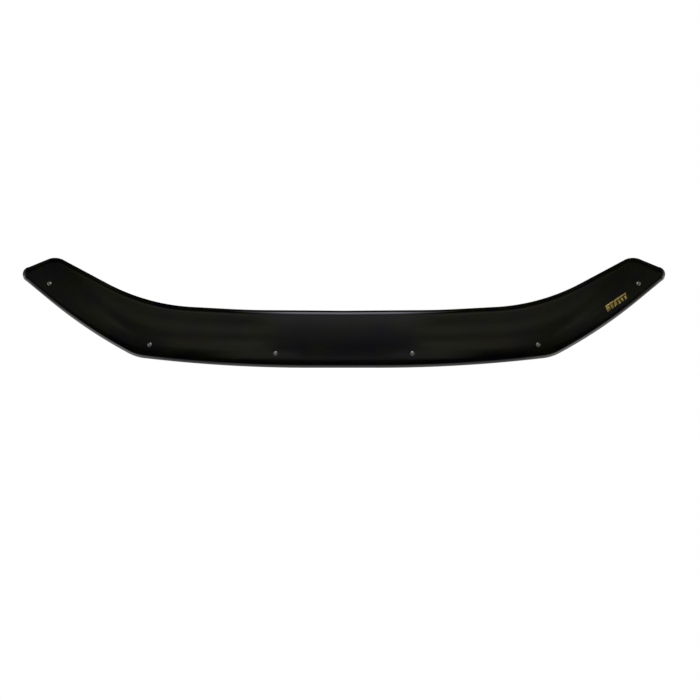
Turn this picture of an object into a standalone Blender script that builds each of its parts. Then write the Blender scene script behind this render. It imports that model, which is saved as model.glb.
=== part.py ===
"""Hood bug deflector: a long shield of black acrylic, drawn hot over a mould as one sheet,
with a lip turned back all round it. Six screws through the sheet each hold a rubber spacer
and a steel clip behind it, and the clips grip the front lip of the hood.

Metres, +Z up. The front faces -Y and +X runs to the right as seen from the front. The origin
is where the hood's front lip is gripped: on the centre line of the car, level with the middle
of the two inner clips' mouths.
"""

import math

import bmesh
import bpy
from mathutils import Matrix, Vector

# Front outline of the right half. X is the distance from the centre line, Z the height above
# the lowest point of the bottom edge. Each corner is rounded by its radius.
BAND_HEIGHT = 0.1252
TOP_FLARE_X = 0.2065
TOP_FLARE_Z = 0.1268
TOP_FLARE_RADIUS = 1.78
TOP_BEND_X = 0.4294
TOP_BEND_Z = 0.1388
TOP_BEND_RADIUS = 0.448
PEAK_X = 0.6290
PEAK_Z = 0.2451
PEAK_RADIUS = 0.042
TIP_X = 0.7175
TIP_Z = 0.2090
TIP_RADIUS = 0.0157
WING_BELLY_X = 0.5643
WING_BELLY_Z = 0.0829
WING_BELLY_RADIUS = 1.05
BOTTOM_BEND_X = 0.4538
BOTTOM_BEND_Z = 0.0232
BOTTOM_BEND_RADIUS = 0.100
SWEEP_START_X = 0.2488
SWEEP_RADIUS = 3.1

# How the sheet curves away behind that outline.
WALL = 0.003
BOW_DEPTH = 0.130
BOW_POWER = 2.3
CROWN = 0.0035
BOTTOM_CURL = 0.006
SPINE_EASE = 0.080

# The wing's middle line rises midway between its upper and its lower edge.
UPPER_RISE = (PEAK_Z - TOP_BEND_Z) / (PEAK_X - TOP_BEND_X)
LOWER_RISE = (TIP_Z - BOTTOM_BEND_Z) / (TIP_X - BOTTOM_BEND_X)
WING_ANGLE = math.atan((UPPER_RISE + LOWER_RISE) / 2)

# The turned-back lip: the angle and radius of its bend, and the flat beyond it.
TOP_LIP_TURN = math.radians(60)
TOP_LIP_RADIUS = 0.010
TOP_LIP_FLAT = 0.008
BOTTOM_LIP_TURN = math.radians(38)
BOTTOM_LIP_RADIUS = 0.014
BOTTOM_LIP_FLAT = 0.009
LIP_EASE_LENGTH = 0.060

# Fixing screws: the two inner ones by their distance from the centre line, the outer one by
# its distance in from the wing's tip, and each by its distance from the bottom edge.
INNER_FIXING_X = 0.149
MIDDLE_FIXING_X = 0.423
OUTER_FIXING_SETBACK = 0.0750
FIXING_INSET = 0.0311
OUTER_FIXING_INSET = 0.0287

SCREW_DIAMETER = 0.005
SCREW_LENGTH = 0.016
SCREW_HEAD_DIAMETER = 0.0095
SCREW_HEAD_HEIGHT = 0.0036
SCREW_DOME_HEIGHT = 0.0020
SCREW_POINT = 0.0006
RECESS_WIDTH = 0.0052
RECESS_SLOT = 0.0012
RECESS_DEPTH = 0.0019
HOLE_CLEARANCE = 0.0008
THREAD_CLEARANCE = 0.0003

SPACER_DIAMETER = 0.014
SPACER_THICKNESS = 0.004
SPACER_BEVEL = 0.0008

CLIP_SHEET = 0.0015
CLIP_WIDTH = 0.018
CLIP_HEIGHT = 0.022
CLIP_REACH = 0.025
CLIP_BEND_RADIUS = 0.003
CLIP_CORNER_RADIUS = 0.002

NUT_FLATS = 0.008
NUT_HEIGHT = 0.0035
NUT_COLLAR_HEIGHT = 0.0015
NUT_COLLAR_DIAMETER = 0.0076

PAD_WIDTH = 0.015
PAD_LENGTH = 0.014
PAD_THICKNESS = 0.002
PAD_EDGE = 0.001

CLAMP_HEAD_FLATS = 0.008
CLAMP_HEAD_HEIGHT = 0.0035
CLAMP_LENGTH = 0.0075
CLAMP_SETBACK = 0.008

LABEL_SETBACK = 0.1225
LABEL_INSET = 0.0265
LABEL_LENGTH = 0.057
LABEL_HEIGHT = 0.0134
LABEL_THICKNESS = 0.0003

# Gap between pieces that touch, and the wider one that a flat piece needs on the curved sheet.
SEAT_GAP = 0.0003
CURVED_SEAT_GAP = 0.0004

# Fineness of the mesh.
CHORD_ERROR = 0.0002
LONGEST_STEP = 0.030
SHORTEST_STEP = 0.0025
LIP_STEPS = 4
ROOT_ROUNDS = 6
ROUND_SIDES = 20
DOME_STEPS = 4
BEND_STEPS = 4
CORNER_STEPS = 3
SLOPE_STEP = 0.0005
SEARCH_ROUNDS = 50
LABEL_COLUMNS = 6
LABEL_ROWS = 2


# Places of the wing's two end corners in the outline's list of corners.
PEAK_CORNER = 3
TIP_CORNER = 4


def outline():
    """The right half's outline as corners (point, radius), from the top down round the tip."""
    return [
        (Vector((0, BAND_HEIGHT)), 0),
        (Vector((TOP_FLARE_X, TOP_FLARE_Z)), TOP_FLARE_RADIUS),
        (Vector((TOP_BEND_X, TOP_BEND_Z)), TOP_BEND_RADIUS),
        (Vector((PEAK_X, PEAK_Z)), PEAK_RADIUS),
        (Vector((TIP_X, TIP_Z)), TIP_RADIUS),
        (Vector((WING_BELLY_X, WING_BELLY_Z)), WING_BELLY_RADIUS),
        (Vector((BOTTOM_BEND_X, BOTTOM_BEND_Z)), BOTTOM_BEND_RADIUS),
        (Vector((SWEEP_START_X, 0)), SWEEP_RADIUS),
        (Vector((0, 0)), 0),
    ]


def rounded_path(corners):
    """Straights and arcs through the corners, each as (start, heading, length, bend per metre).

    Two roundings that would meet on the straight between them give way to each other.
    """
    points = [point for point, _ in corners]
    runs = [after - before for before, after in zip(points, points[1:])]
    headings = [math.atan2(run.y, run.x) for run in runs]
    turns = [
        math.remainder(after - before, math.tau)
        for before, after in zip(headings, headings[1:])
    ]
    tangents = [0.0]
    for turn, (_, radius) in zip(turns, corners[1:]):
        tangents.append(radius * math.tan(abs(turn) / 2))
    tangents.append(0.0)
    limited = list(tangents)
    for i, run in enumerate(runs):
        share = min(1.0, run.length / (tangents[i] + tangents[i + 1]))
        limited[i] = min(limited[i], tangents[i] * share)
        limited[i + 1] = min(limited[i + 1], tangents[i + 1] * share)
    path = []
    for i, run in enumerate(runs):
        direction = run.normalized()
        start = points[i] + direction * limited[i]
        straight = run.length - limited[i] - limited[i + 1]
        path.append((start, headings[i], straight, 0.0))
        if i < len(turns):
            radius = limited[i + 1] / math.tan(abs(turns[i]) / 2)
            arc_start = start + direction * straight
            arc_length = radius * abs(turns[i])
            path.append((arc_start, headings[i], arc_length, turns[i] / arc_length))
    return path


def middle_of_corner(path, corner):
    """Distance along the path to the middle of a corner's arc, which ends the corner's run."""
    lengths = [length for _, _, length, _ in path[: 2 * corner]]
    return sum(lengths) - lengths[-1] / 2


def walk(path, distance):
    """(point, heading) at a distance along the path."""
    for start, heading, length, bend in path:
        if distance <= length or path[-1][0] is start:
            break
        distance -= length
    if bend == 0:
        step = Vector((math.cos(heading), math.sin(heading))) * distance
        return start + step, heading
    turned = heading + bend * distance
    step = Vector((math.sin(turned) - math.sin(heading), math.cos(heading) - math.cos(turned)))
    return start + step / bend, turned


def inward(heading):
    """The direction into the sheet from its outline, which is walked clockwise."""
    return Vector((math.sin(heading), -math.cos(heading)))


def spine(x):
    """Height of the line along the middle of the band: level, then rising along the wing."""
    past_bend = abs(x) - (TOP_BEND_X + BOTTOM_BEND_X) / 2
    eased = (past_bend + math.hypot(past_bend, SPINE_EASE)) / 2
    return BAND_HEIGHT / 2 + math.tan(WING_ANGLE) * eased


def on_face(x, z):
    """The point of the front surface at this place of the front view."""
    bow = BOW_DEPTH * (abs(x) / TIP_X) ** BOW_POWER
    across = (z - spine(x)) / (BAND_HEIGHT / 2)
    curl = BOTTOM_CURL * max(-across, 0) ** 3
    return Vector((x, bow + CROWN * across**2 + curl, z))


def face_normal(x, z):
    """The direction in which the front surface faces there."""
    along = on_face(x + SLOPE_STEP, z) - on_face(x - SLOPE_STEP, z)
    up = on_face(x, z + SLOPE_STEP) - on_face(x, z - SLOPE_STEP)
    return along.cross(up).normalized()


def lip_section(share):
    """(outward, backward) steps of the lip from the face to its free edge.

    share is 0 at the top of the sheet and 1 along its bottom.
    """
    turn = TOP_LIP_TURN + (BOTTOM_LIP_TURN - TOP_LIP_TURN) * share
    radius = TOP_LIP_RADIUS + (BOTTOM_LIP_RADIUS - TOP_LIP_RADIUS) * share
    flat = TOP_LIP_FLAT + (BOTTOM_LIP_FLAT - TOP_LIP_FLAT) * share
    section = []
    for i in range(LIP_STEPS + 1):
        angle = turn * i / LIP_STEPS
        section.append((radius * math.sin(angle), radius * (1 - math.cos(angle))))
    out, back = section[-1]
    section.append((out + flat * math.cos(turn), back + flat * math.sin(turn)))
    return section


def marks(path):
    """Distances along the path where its pieces end or its arcs need a point."""
    found = [0.0]
    for _, _, length, bend in path:
        steps = 1
        if bend:
            steps = math.ceil(length / math.sqrt(8 * CHORD_ERROR / abs(bend)))
        start = found[-1]
        found += [start + length * (i + 1) / steps for i in range(steps)]
    return found


def spread(wanted, length):
    """Shares from 0 to 1 that hold the wanted ones, thinned where crowded, filled where sparse."""
    kept = [0.0]
    for share in sorted(wanted):
        if SHORTEST_STEP < (share - kept[-1]) * length and (1 - share) * length > SHORTEST_STEP:
            kept.append(share)
    kept.append(1.0)
    filled = [0.0]
    for before, after in zip(kept, kept[1:]):
        steps = math.ceil((after - before) * length / LONGEST_STEP)
        filled += [before + (after - before) * (i + 1) / steps for i in range(steps)]
    return filled


def new_object(name, mesh, material, parent=None):
    item = bpy.data.objects.new(name, mesh)
    bpy.context.scene.collection.objects.link(item)
    if material:
        mesh.materials.clear()
        mesh.materials.append(material)
    item.parent = parent
    return item


def mesh_from(name, bm):
    bmesh.ops.recalc_face_normals(bm, faces=bm.faces)
    mesh = bpy.data.meshes.new(name)
    bm.to_mesh(mesh)
    bm.free()
    return mesh


def smooth(mesh):
    mesh.shade_smooth()
    mesh.set_sharp_from_angle(angle=math.radians(35))
    return mesh


def material(name, colour, roughness, metallic=0.0):
    made = bpy.data.materials.new(name)
    made.use_nodes = True
    shader = made.node_tree.nodes["Principled BSDF"]
    shader.inputs["Base Color"].default_value = (*colour, 1)
    shader.inputs["Roughness"].default_value = roughness
    shader.inputs["Metallic"].default_value = metallic
    return made


def half_sheet():
    """The front surface of the right half, with its lip, as a mesh of no thickness."""
    path = rounded_path(outline())
    whole = sum(length for _, _, length, _ in path)
    peak = middle_of_corner(path, PEAK_CORNER)
    tip = middle_of_corner(path, TIP_CORNER)
    places = marks(path)
    columns = spread(
        [s / peak for s in places if s < peak]
        + [(whole - s) / (whole - tip) for s in places if s > tip],
        peak,
    )
    rows = spread([(s - peak) / (tip - peak) for s in places if peak < s < tip], tip - peak)
    n_columns = len(columns) - 1
    n_rows = len(rows) - 1

    def border(distance):
        """The lip's points at a distance along the outline, from its root to its free edge."""
        edge, heading = walk(path, distance)
        share = min(max((distance - peak) / (tip - peak + LIP_EASE_LENGTH), 0.0), 1.0)
        share = share * share * (3 - 2 * share)
        return lip_line(edge, -inward(heading), lip_section(share))

    top = [border(peak * share) for share in columns]
    end = [border(peak + (tip - peak) * share) for share in rows]
    bottom = [border(whole - (whole - tip) * share) for share in columns]
    rim = top + end[1:-1] + bottom[::-1]

    bm = bmesh.new()
    bmesh.ops.create_grid(bm, x_segments=n_columns, y_segments=n_rows, size=1)
    grid = {}
    for vertex in bm.verts:
        column = round((vertex.co.x + 1) / 2 * n_columns)
        row = round((1 - vertex.co.y) / 2 * n_rows)
        grid[column, row] = vertex
        low = bottom[column][0]
        high = top[column][0]
        place = end[row][0] if column == n_columns else high.lerp(low, row / n_rows)
        vertex.co = on_face(place.x, place.z)

    ring = [grid[i, 0] for i in range(n_columns + 1)]
    ring += [grid[n_columns, j] for j in range(1, n_rows)]
    ring += [grid[i, n_rows] for i in range(n_columns, -1, -1)]
    grow_lip(bm, ring, rim)
    for vertex in bm.verts:
        if abs(vertex.co.x) < SHORTEST_STEP / 10:
            vertex.co.x = 0
    for face in bm.faces:
        face.normal_update()
    if sum(face.normal.y * face.calc_area() for face in bm.faces) > 0:
        bmesh.ops.reverse_faces(bm, faces=bm.faces)
    mesh = bpy.data.meshes.new("shield")
    bm.to_mesh(mesh)
    bm.free()
    return mesh


def lip_line(edge, outward, section):
    """The lip's points, from its root on the face, so that it just reaches the outline's edge."""
    inset = section[-1][0]
    for _ in range(ROOT_ROUNDS):
        root = edge - outward * inset
        normal = face_normal(root.x, root.y)
        out = Vector((outward.x, 0, outward.y))
        out = (out - normal * out.dot(normal)).normalized()
        start = on_face(root.x, root.y)
        line = [start + out * step_out - normal * step_back for step_out, step_back in section]
        reach = max(outward.dot((point.x, point.z)) for point in line)
        inset += reach - outward.dot(edge)
    return line


def grow_lip(bm, ring, rim):
    """Extrudes the border of the face step by step along the lip's section."""
    for step in range(1, LIP_STEPS + 2):
        edges = [bm.edges.get((a, b)) for a, b in zip(ring, ring[1:])]
        grown = bmesh.ops.extrude_edge_only(bm, edges=edges)["geom"]
        fresh = {v for v in grown if isinstance(v, bmesh.types.BMVert)}
        ring = [
            next(e.other_vert(v) for e in v.link_edges if e.other_vert(v) in fresh) for v in ring
        ]
        for vertex, line in zip(ring, rim):
            vertex.co = line[step]


def fixing_places():
    """The six screws from left to right, each as (place in the front view, heading there)."""
    path = rounded_path(outline())
    whole = sum(length for _, _, length, _ in path)
    stations = [
        (INNER_FIXING_X, FIXING_INSET),
        (MIDDLE_FIXING_X, FIXING_INSET),
        (TIP_X - OUTER_FIXING_SETBACK, OUTER_FIXING_INSET),
    ]
    right = [inset_from_bottom(path, whole, x, inset) for x, inset in stations]
    left = [(Vector((-place.x, place.y)), -heading) for place, heading in reversed(right)]
    return left + right


def inset_from_bottom(path, whole, x, inset):
    """The place at this X that lies this far inside the bottom edge, and the edge's slope."""
    near, far = 0.0, whole / 2
    for _ in range(SEARCH_ROUNDS):
        middle = (near + far) / 2
        edge, heading = walk(path, whole - middle)
        place = edge + inward(heading) * inset
        if place.x < x:
            near = middle
        else:
            far = middle
    return place, heading - math.pi


def frame_at(place, slope):
    """Axes on the front surface: X along the band, Y backward into the car, Z across it."""
    normal = face_normal(place.x, place.y)
    along = Vector((math.cos(slope), 0, math.sin(slope)))
    along = (along - normal * along.dot(normal)).normalized()
    back = -normal
    across = along.cross(back)
    turned = Matrix((along, back, across)).transposed().to_4x4()
    return Matrix.Translation(on_face(place.x, place.y)) @ turned


def turned_piece(profile, sides=ROUND_SIDES):
    """A piece turned about local Y from a profile of (radius, y) points."""
    bm = bmesh.new()
    verts = [bm.verts.new((radius, y, 0)) for radius, y in profile]
    edges = [bm.edges.new(pair) for pair in zip(verts, verts[1:])]
    if profile[0][0] and profile[-1][0]:
        edges.append(bm.edges.new((verts[-1], verts[0])))
    bmesh.ops.spin(
        bm,
        geom=verts + edges,
        axis=(0, 1, 0),
        cent=(0, 0, 0),
        angle=math.tau,
        steps=sides,
        use_merge=True,
    )
    bmesh.ops.remove_doubles(bm, verts=bm.verts, dist=1e-6)
    return bm


def prism(bm, sides, radius, start, end, turn=0.0):
    """Adds a prism or cylinder along local Y, from start to end."""
    lie = Matrix.Rotation(-math.pi / 2, 4, "X")
    place = Matrix.Translation((0, (start + end) / 2, 0))
    bmesh.ops.create_cone(
        bm,
        cap_ends=True,
        segments=sides,
        radius1=radius,
        radius2=radius,
        depth=end - start,
        matrix=place @ Matrix.Rotation(turn, 4, "Y") @ lie,
    )


def box(bm, low, high):
    low = Vector(low)
    high = Vector(high)
    size = Matrix.Diagonal((*(high - low), 1))
    bmesh.ops.create_cube(bm, size=1, matrix=Matrix.Translation((low + high) / 2) @ size)


def combined(name, base, steps):
    """The base bmesh after each (operation, bmesh), as one mesh."""
    worked = bpy.data.objects.new(name, mesh_from(name, base))
    bpy.context.scene.collection.objects.link(worked)
    tools = []
    for operation, tool in steps:
        other = bpy.data.objects.new(name + "_tool", mesh_from(name + "_tool", tool))
        bpy.context.scene.collection.objects.link(other)
        boolean = worked.modifiers.new("work", "BOOLEAN")
        boolean.operation = operation
        boolean.object = other
        tools.append(other)
    graph = bpy.context.evaluated_depsgraph_get()
    mesh = bpy.data.meshes.new_from_object(worked.evaluated_get(graph))
    mesh.name = name
    for item in [worked, *tools]:
        bpy.data.objects.remove(item)
    return mesh


def screw_mesh():
    """A pan-head machine screw with a cross recess, its head on the front of the sheet."""
    seat = -CURVED_SEAT_GAP
    crown = seat - SCREW_HEAD_HEIGHT
    head = SCREW_HEAD_DIAMETER / 2
    shank = SCREW_DIAMETER / 2
    end = seat + SCREW_LENGTH
    profile = [(0.0, crown)]
    for i in range(1, DOME_STEPS + 1):
        angle = math.pi / 2 * i / DOME_STEPS
        sunk = SCREW_DOME_HEIGHT * (1 - math.cos(angle))
        profile.append((head * math.sin(angle), crown + sunk))
    profile += [
        (head, seat),
        (shank, seat),
        (shank, end - SCREW_POINT),
        (shank - SCREW_POINT, end),
        (0.0, end),
    ]
    base = turned_piece(profile)
    bar = RECESS_WIDTH / 2
    slot = RECESS_SLOT / 2
    level = bmesh.new()
    box(level, (-bar, crown - RECESS_DEPTH, -slot), (bar, crown + RECESS_DEPTH, slot))
    upright = bmesh.new()
    box(upright, (-slot, crown - RECESS_DEPTH, -bar), (slot, crown + RECESS_DEPTH, bar))
    return smooth(combined("screw", base, [("DIFFERENCE", level), ("DIFFERENCE", upright)]))


def spacer_mesh():
    """A rubber spacer between the sheet and the clip."""
    front = WALL + CURVED_SEAT_GAP
    back = front + SPACER_THICKNESS
    inside = (SCREW_DIAMETER + HOLE_CLEARANCE) / 2
    outside = SPACER_DIAMETER / 2
    profile = [
        (inside, front),
        (outside - SPACER_BEVEL, front),
        (outside, front + SPACER_BEVEL),
        (outside, back - SPACER_BEVEL),
        (outside - SPACER_BEVEL, back),
        (inside, back),
    ]
    return smooth(mesh_from("spacer", turned_piece(profile)))


def clip_front():
    """How far behind the front surface the clip begins."""
    return WALL + CURVED_SEAT_GAP + SPACER_THICKNESS + SEAT_GAP


def mouth_middle():
    """How far behind the front surface the middle of the clip's mouth lies."""
    return (SCREW_LENGTH - CURVED_SEAT_GAP + clip_front() + CLIP_REACH) / 2


def clamp_place():
    """How far behind the front surface the clamp screw stands."""
    return clip_front() + CLIP_REACH - CLAMP_SETBACK


def clip_mesh():
    """A steel strip bent into a C, its web on the spacer and its mouth toward the car."""
    sheet = CLIP_SHEET
    front = clip_front()
    half_height = CLIP_HEIGHT / 2
    half_width = CLIP_WIDTH / 2
    bm = bmesh.new()
    course = [
        (front + CLIP_REACH, half_height),
        (front, half_height),
        (front, -half_height),
        (front + CLIP_REACH, -half_height),
    ]
    verts = [bm.verts.new((-half_width, y, z)) for y, z in course]
    edges = [bm.edges.new(pair) for pair in zip(verts, verts[1:])]
    grown = bmesh.ops.extrude_edge_only(bm, edges=edges)["geom"]
    bmesh.ops.translate(
        bm,
        verts=[v for v in grown if isinstance(v, bmesh.types.BMVert)],
        vec=(CLIP_WIDTH, 0, 0),
    )
    bends = [e for e in bm.edges if len(e.link_faces) == 2]
    bmesh.ops.bevel(
        bm,
        geom=bends,
        offset=CLIP_BEND_RADIUS,
        offset_type="OFFSET",
        segments=BEND_STEPS,
        profile=0.5,
        affect="EDGES",
        material=-1,
    )
    corners = [v for v in bm.verts if len(v.link_edges) == 2]
    bmesh.ops.bevel(
        bm,
        geom=corners,
        offset=CLIP_CORNER_RADIUS,
        offset_type="OFFSET",
        segments=CORNER_STEPS,
        profile=0.5,
        affect="VERTICES",
        material=-1,
    )
    bmesh.ops.recalc_face_normals(bm, faces=bm.faces)
    web = next(f for f in bm.faces if abs(f.normal.y) > 0.99)
    if web.normal.y > 0:
        bmesh.ops.reverse_faces(bm, faces=bm.faces)
    bmesh.ops.solidify(bm, geom=bm.faces, thickness=sheet)
    screw_hole = bmesh.new()
    prism(
        screw_hole,
        ROUND_SIDES,
        (SCREW_DIAMETER + HOLE_CLEARANCE) / 2,
        front - sheet,
        front + 2 * sheet,
    )
    clamp_hole = bmesh.new()
    prism(
        clamp_hole,
        ROUND_SIDES,
        SCREW_DIAMETER / 2 + THREAD_CLEARANCE,
        -half_height - sheet,
        -half_height + 2 * sheet,
    )
    bmesh.ops.transform(
        clamp_hole,
        verts=clamp_hole.verts,
        matrix=Matrix.Translation((0, clamp_place(), 0)) @ Matrix.Rotation(math.pi / 2, 4, "X"),
    )
    return smooth(
        combined("clip", bm, [("DIFFERENCE", screw_hole), ("DIFFERENCE", clamp_hole)])
    )


def nut_mesh():
    """A hexagon lock nut with its round nylon collar, on the web inside the clip."""
    front = clip_front() + CLIP_SHEET + SEAT_GAP
    corner = NUT_FLATS / 2 / math.cos(math.pi / 6)
    base = bmesh.new()
    prism(base, 6, corner, front, front + NUT_HEIGHT)
    collar = bmesh.new()
    collar_end = front + NUT_HEIGHT + NUT_COLLAR_HEIGHT
    prism(collar, ROUND_SIDES, NUT_COLLAR_DIAMETER / 2, front + NUT_HEIGHT / 2, collar_end)
    bore = bmesh.new()
    inside = SCREW_DIAMETER / 2 + THREAD_CLEARANCE
    prism(bore, ROUND_SIDES, inside, front - NUT_HEIGHT, collar_end + NUT_HEIGHT)
    return smooth(combined("nut", base, [("UNION", collar), ("DIFFERENCE", bore)]))


def pad_mesh():
    """A rubber pad under the top jaw, for the hood's lip to bear on."""
    top = CLIP_HEIGHT / 2 - CLIP_SHEET - SEAT_GAP
    end = clip_front() + CLIP_REACH - PAD_EDGE
    bm = bmesh.new()
    box(
        bm,
        (-PAD_WIDTH / 2, end - PAD_LENGTH, top - PAD_THICKNESS),
        (PAD_WIDTH / 2, end, top),
    )
    corners = [e for e in bm.edges if abs((e.verts[0].co - e.verts[1].co).z) > PAD_THICKNESS / 2]
    bmesh.ops.bevel(
        bm,
        geom=corners,
        offset=PAD_EDGE,
        offset_type="OFFSET",
        segments=2,
        profile=0.5,
        affect="EDGES",
        material=-1,
    )
    return mesh_from("pad", bm)


def clamp_screw_mesh():
    """A hexagon-head screw that enters the bottom jaw from below, made along local Y."""
    seat = -SEAT_GAP
    corner = CLAMP_HEAD_FLATS / 2 / math.cos(math.pi / 6)
    base = bmesh.new()
    prism(base, 6, corner, seat - CLAMP_HEAD_HEIGHT, seat)
    shank = bmesh.new()
    prism(shank, ROUND_SIDES, SCREW_DIAMETER / 2, seat - CLAMP_HEAD_HEIGHT / 2, CLAMP_LENGTH)
    return smooth(combined("clamp_screw", base, [("UNION", shank)]))


def label_mesh():
    """A thin plate that follows the front surface of the right wing."""
    path = rounded_path(outline())
    whole = sum(length for _, _, length, _ in path)
    place, slope = inset_from_bottom(path, whole, TIP_X - LABEL_SETBACK, LABEL_INSET)
    along = Vector((math.cos(slope), math.sin(slope)))
    up = Vector((-along.y, along.x))
    bm = bmesh.new()
    bmesh.ops.create_grid(bm, x_segments=LABEL_COLUMNS, y_segments=LABEL_ROWS, size=0.5)
    for vertex in bm.verts:
        spot = place + along * vertex.co.x * LABEL_LENGTH + up * vertex.co.y * LABEL_HEIGHT
        normal = face_normal(spot.x, spot.y)
        vertex.co = on_face(spot.x, spot.y) + normal * SEAT_GAP
    for face in bm.faces:
        face.normal_update()
    if sum(face.normal.y for face in bm.faces) > 0:
        bmesh.ops.reverse_faces(bm, faces=bm.faces)
    mesh = bpy.data.meshes.new("foil_label")
    bm.to_mesh(mesh)
    bm.free()
    return mesh


def build_shield(root, black, fixings):
    """The sheet: half of it mirrored, given its wall, and drilled for the six screws."""
    shield = new_object("shield", half_sheet(), black, root)
    mirror = shield.modifiers.new("other_half", "MIRROR")
    mirror.merge_threshold = 0.0001
    wall = shield.modifiers.new("wall", "SOLIDIFY")
    wall.thickness = WALL
    wall.offset = -1
    wall.use_even_offset = True
    drill = bmesh.new()
    for place, slope in fixings:
        hole = bmesh.new()
        prism(hole, ROUND_SIDES, (SCREW_DIAMETER + HOLE_CLEARANCE) / 2, -2 * WALL, 3 * WALL)
        bmesh.ops.transform(hole, verts=hole.verts, matrix=frame_at(place, slope))
        piece = mesh_from("hole", hole)
        drill.from_mesh(piece)
        bpy.data.meshes.remove(piece)
    cutter = new_object("screw_holes", mesh_from("screw_holes", drill), None, root)
    cutter.hide_render = True
    cutter.display_type = "WIRE"
    holes = shield.modifiers.new("screw_holes", "BOOLEAN")
    holes.operation = "DIFFERENCE"
    holes.object = cutter
    return shield


def build_fixings(root, steel, black_steel, rubber, fixings):
    """Screw, spacer, clip, nut, pad and clamp screw at each of the six places."""
    kinds = [
        ("screw", screw_mesh(), steel),
        ("spacer", spacer_mesh(), rubber),
        ("hood_clip", clip_mesh(), black_steel),
        ("lock_nut", nut_mesh(), steel),
        ("clip_pad", pad_mesh(), rubber),
    ]
    clamp = clamp_screw_mesh()
    for number, (place, slope) in enumerate(fixings, 1):
        fixing = bpy.data.objects.new(f"fixing_{number}", None)
        bpy.context.scene.collection.objects.link(fixing)
        fixing.parent = root
        fixing.matrix_local = frame_at(place, slope)
        for name, mesh, finish in kinds:
            new_object(f"{name}_{number}", mesh, finish, fixing)
        turned_up = Matrix.Rotation(math.pi / 2, 4, "X")
        below = Matrix.Translation((0, clamp_place(), -CLIP_HEIGHT / 2))
        screw = new_object(f"clamp_screw_{number}", clamp, steel, fixing)
        screw.matrix_local = below @ turned_up


def build_label(root, gold):
    label = new_object("foil_label", label_mesh(), gold, root)
    thickness = label.modifiers.new("thickness", "SOLIDIFY")
    thickness.thickness = LABEL_THICKNESS
    thickness.offset = 1
    thickness.use_even_offset = True


def main():
    for item in list(bpy.data.objects):
        bpy.data.objects.remove(item)
    root = bpy.data.objects.new("deflector", None)
    bpy.context.scene.collection.objects.link(root)
    fixings = fixing_places()
    inner_clip = frame_at(*fixings[len(fixings) // 2])
    grip = inner_clip @ Vector((0, mouth_middle(), 0))
    root.location = (0, -grip.y, -grip.z)
    black = material("black_acrylic", (0.006, 0.006, 0.005), 0.08)
    steel = material("zinc_steel", (0.55, 0.56, 0.57), 0.32, 1.0)
    black_steel = material("black_steel", (0.012, 0.012, 0.013), 0.45, 0.0)
    rubber = material("black_rubber", (0.018, 0.018, 0.018), 0.85)
    gold = material("gold_foil", (0.62, 0.43, 0.09), 0.35, 1.0)
    build_shield(root, black, fixings)
    build_fixings(root, steel, black_steel, rubber, fixings)
    build_label(root, gold)


main()
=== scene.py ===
# %% [markdown]
# # A hood bug deflector in black acrylic
#
# A hood bug deflector is one long sheet of acrylic, heated and drawn over a mould, with a narrow
# lip turned back all round it. Six screws hold rubber spacers and steel clips behind it.
# The solids that were built first give every place and size. This lesson makes the fine surfaces
# that a camera needs, their finishes, the light and the camera.

# %% Load the solids
import math

import bmesh
import bpy
from mathutils import Matrix, Vector


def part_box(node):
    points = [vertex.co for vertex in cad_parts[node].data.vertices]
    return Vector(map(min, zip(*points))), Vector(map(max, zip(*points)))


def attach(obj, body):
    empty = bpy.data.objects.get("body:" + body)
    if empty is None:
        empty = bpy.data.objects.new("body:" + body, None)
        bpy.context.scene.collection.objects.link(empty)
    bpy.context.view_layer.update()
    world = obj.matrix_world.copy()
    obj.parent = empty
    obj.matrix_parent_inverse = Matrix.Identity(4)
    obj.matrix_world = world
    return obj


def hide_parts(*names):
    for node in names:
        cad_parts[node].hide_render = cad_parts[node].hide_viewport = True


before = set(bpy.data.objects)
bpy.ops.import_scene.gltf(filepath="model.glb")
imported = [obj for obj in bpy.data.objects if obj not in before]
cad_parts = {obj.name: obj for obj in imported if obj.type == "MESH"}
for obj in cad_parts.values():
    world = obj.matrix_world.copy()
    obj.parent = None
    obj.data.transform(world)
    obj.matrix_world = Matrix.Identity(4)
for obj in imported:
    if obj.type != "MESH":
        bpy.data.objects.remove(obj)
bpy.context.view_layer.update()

sheet_low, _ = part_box("shield")

# %% [markdown]
# ## Helpers for meshes and objects
#
# A bmesh is a workbench: when the shape is done it is written into a mesh, and the bench is
# cleared. An object then carries the mesh, and it shows only once a collection holds it. Both
# happen so often that each gets a small function.


# %% Meshes and objects
def mesh_of(name, bm):
    """Writes the bmesh into a new mesh and frees it."""
    made = bpy.data.meshes.new(name)
    bm.to_mesh(made)
    bm.free()
    return made


def put_in_scene(name, data):
    """A new object with this data, held by the scene's collection."""
    made = bpy.data.objects.new(name, data)
    bpy.context.scene.collection.objects.link(made)
    return made


# %% [markdown]
# ## The camera
#
# A picture of a product like this is taken square on and from far away, so that the swept-back
# ends don't look small. A wide lens close by would bend the outline. A very long lens at forty
# metres keeps it true, and the camera is simply moved sideways and down to frame it as the
# picture does, which leaves its shift at zero.

# %% Camera
METRES_PER_PIXEL = 0.00218
PICTURE_PIXELS = 700
CENTRE_LINE_PIXEL = 343.9
BOTTOM_EDGE_PIXEL = 368.0
CAMERA_DISTANCE = 40.0

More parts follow.
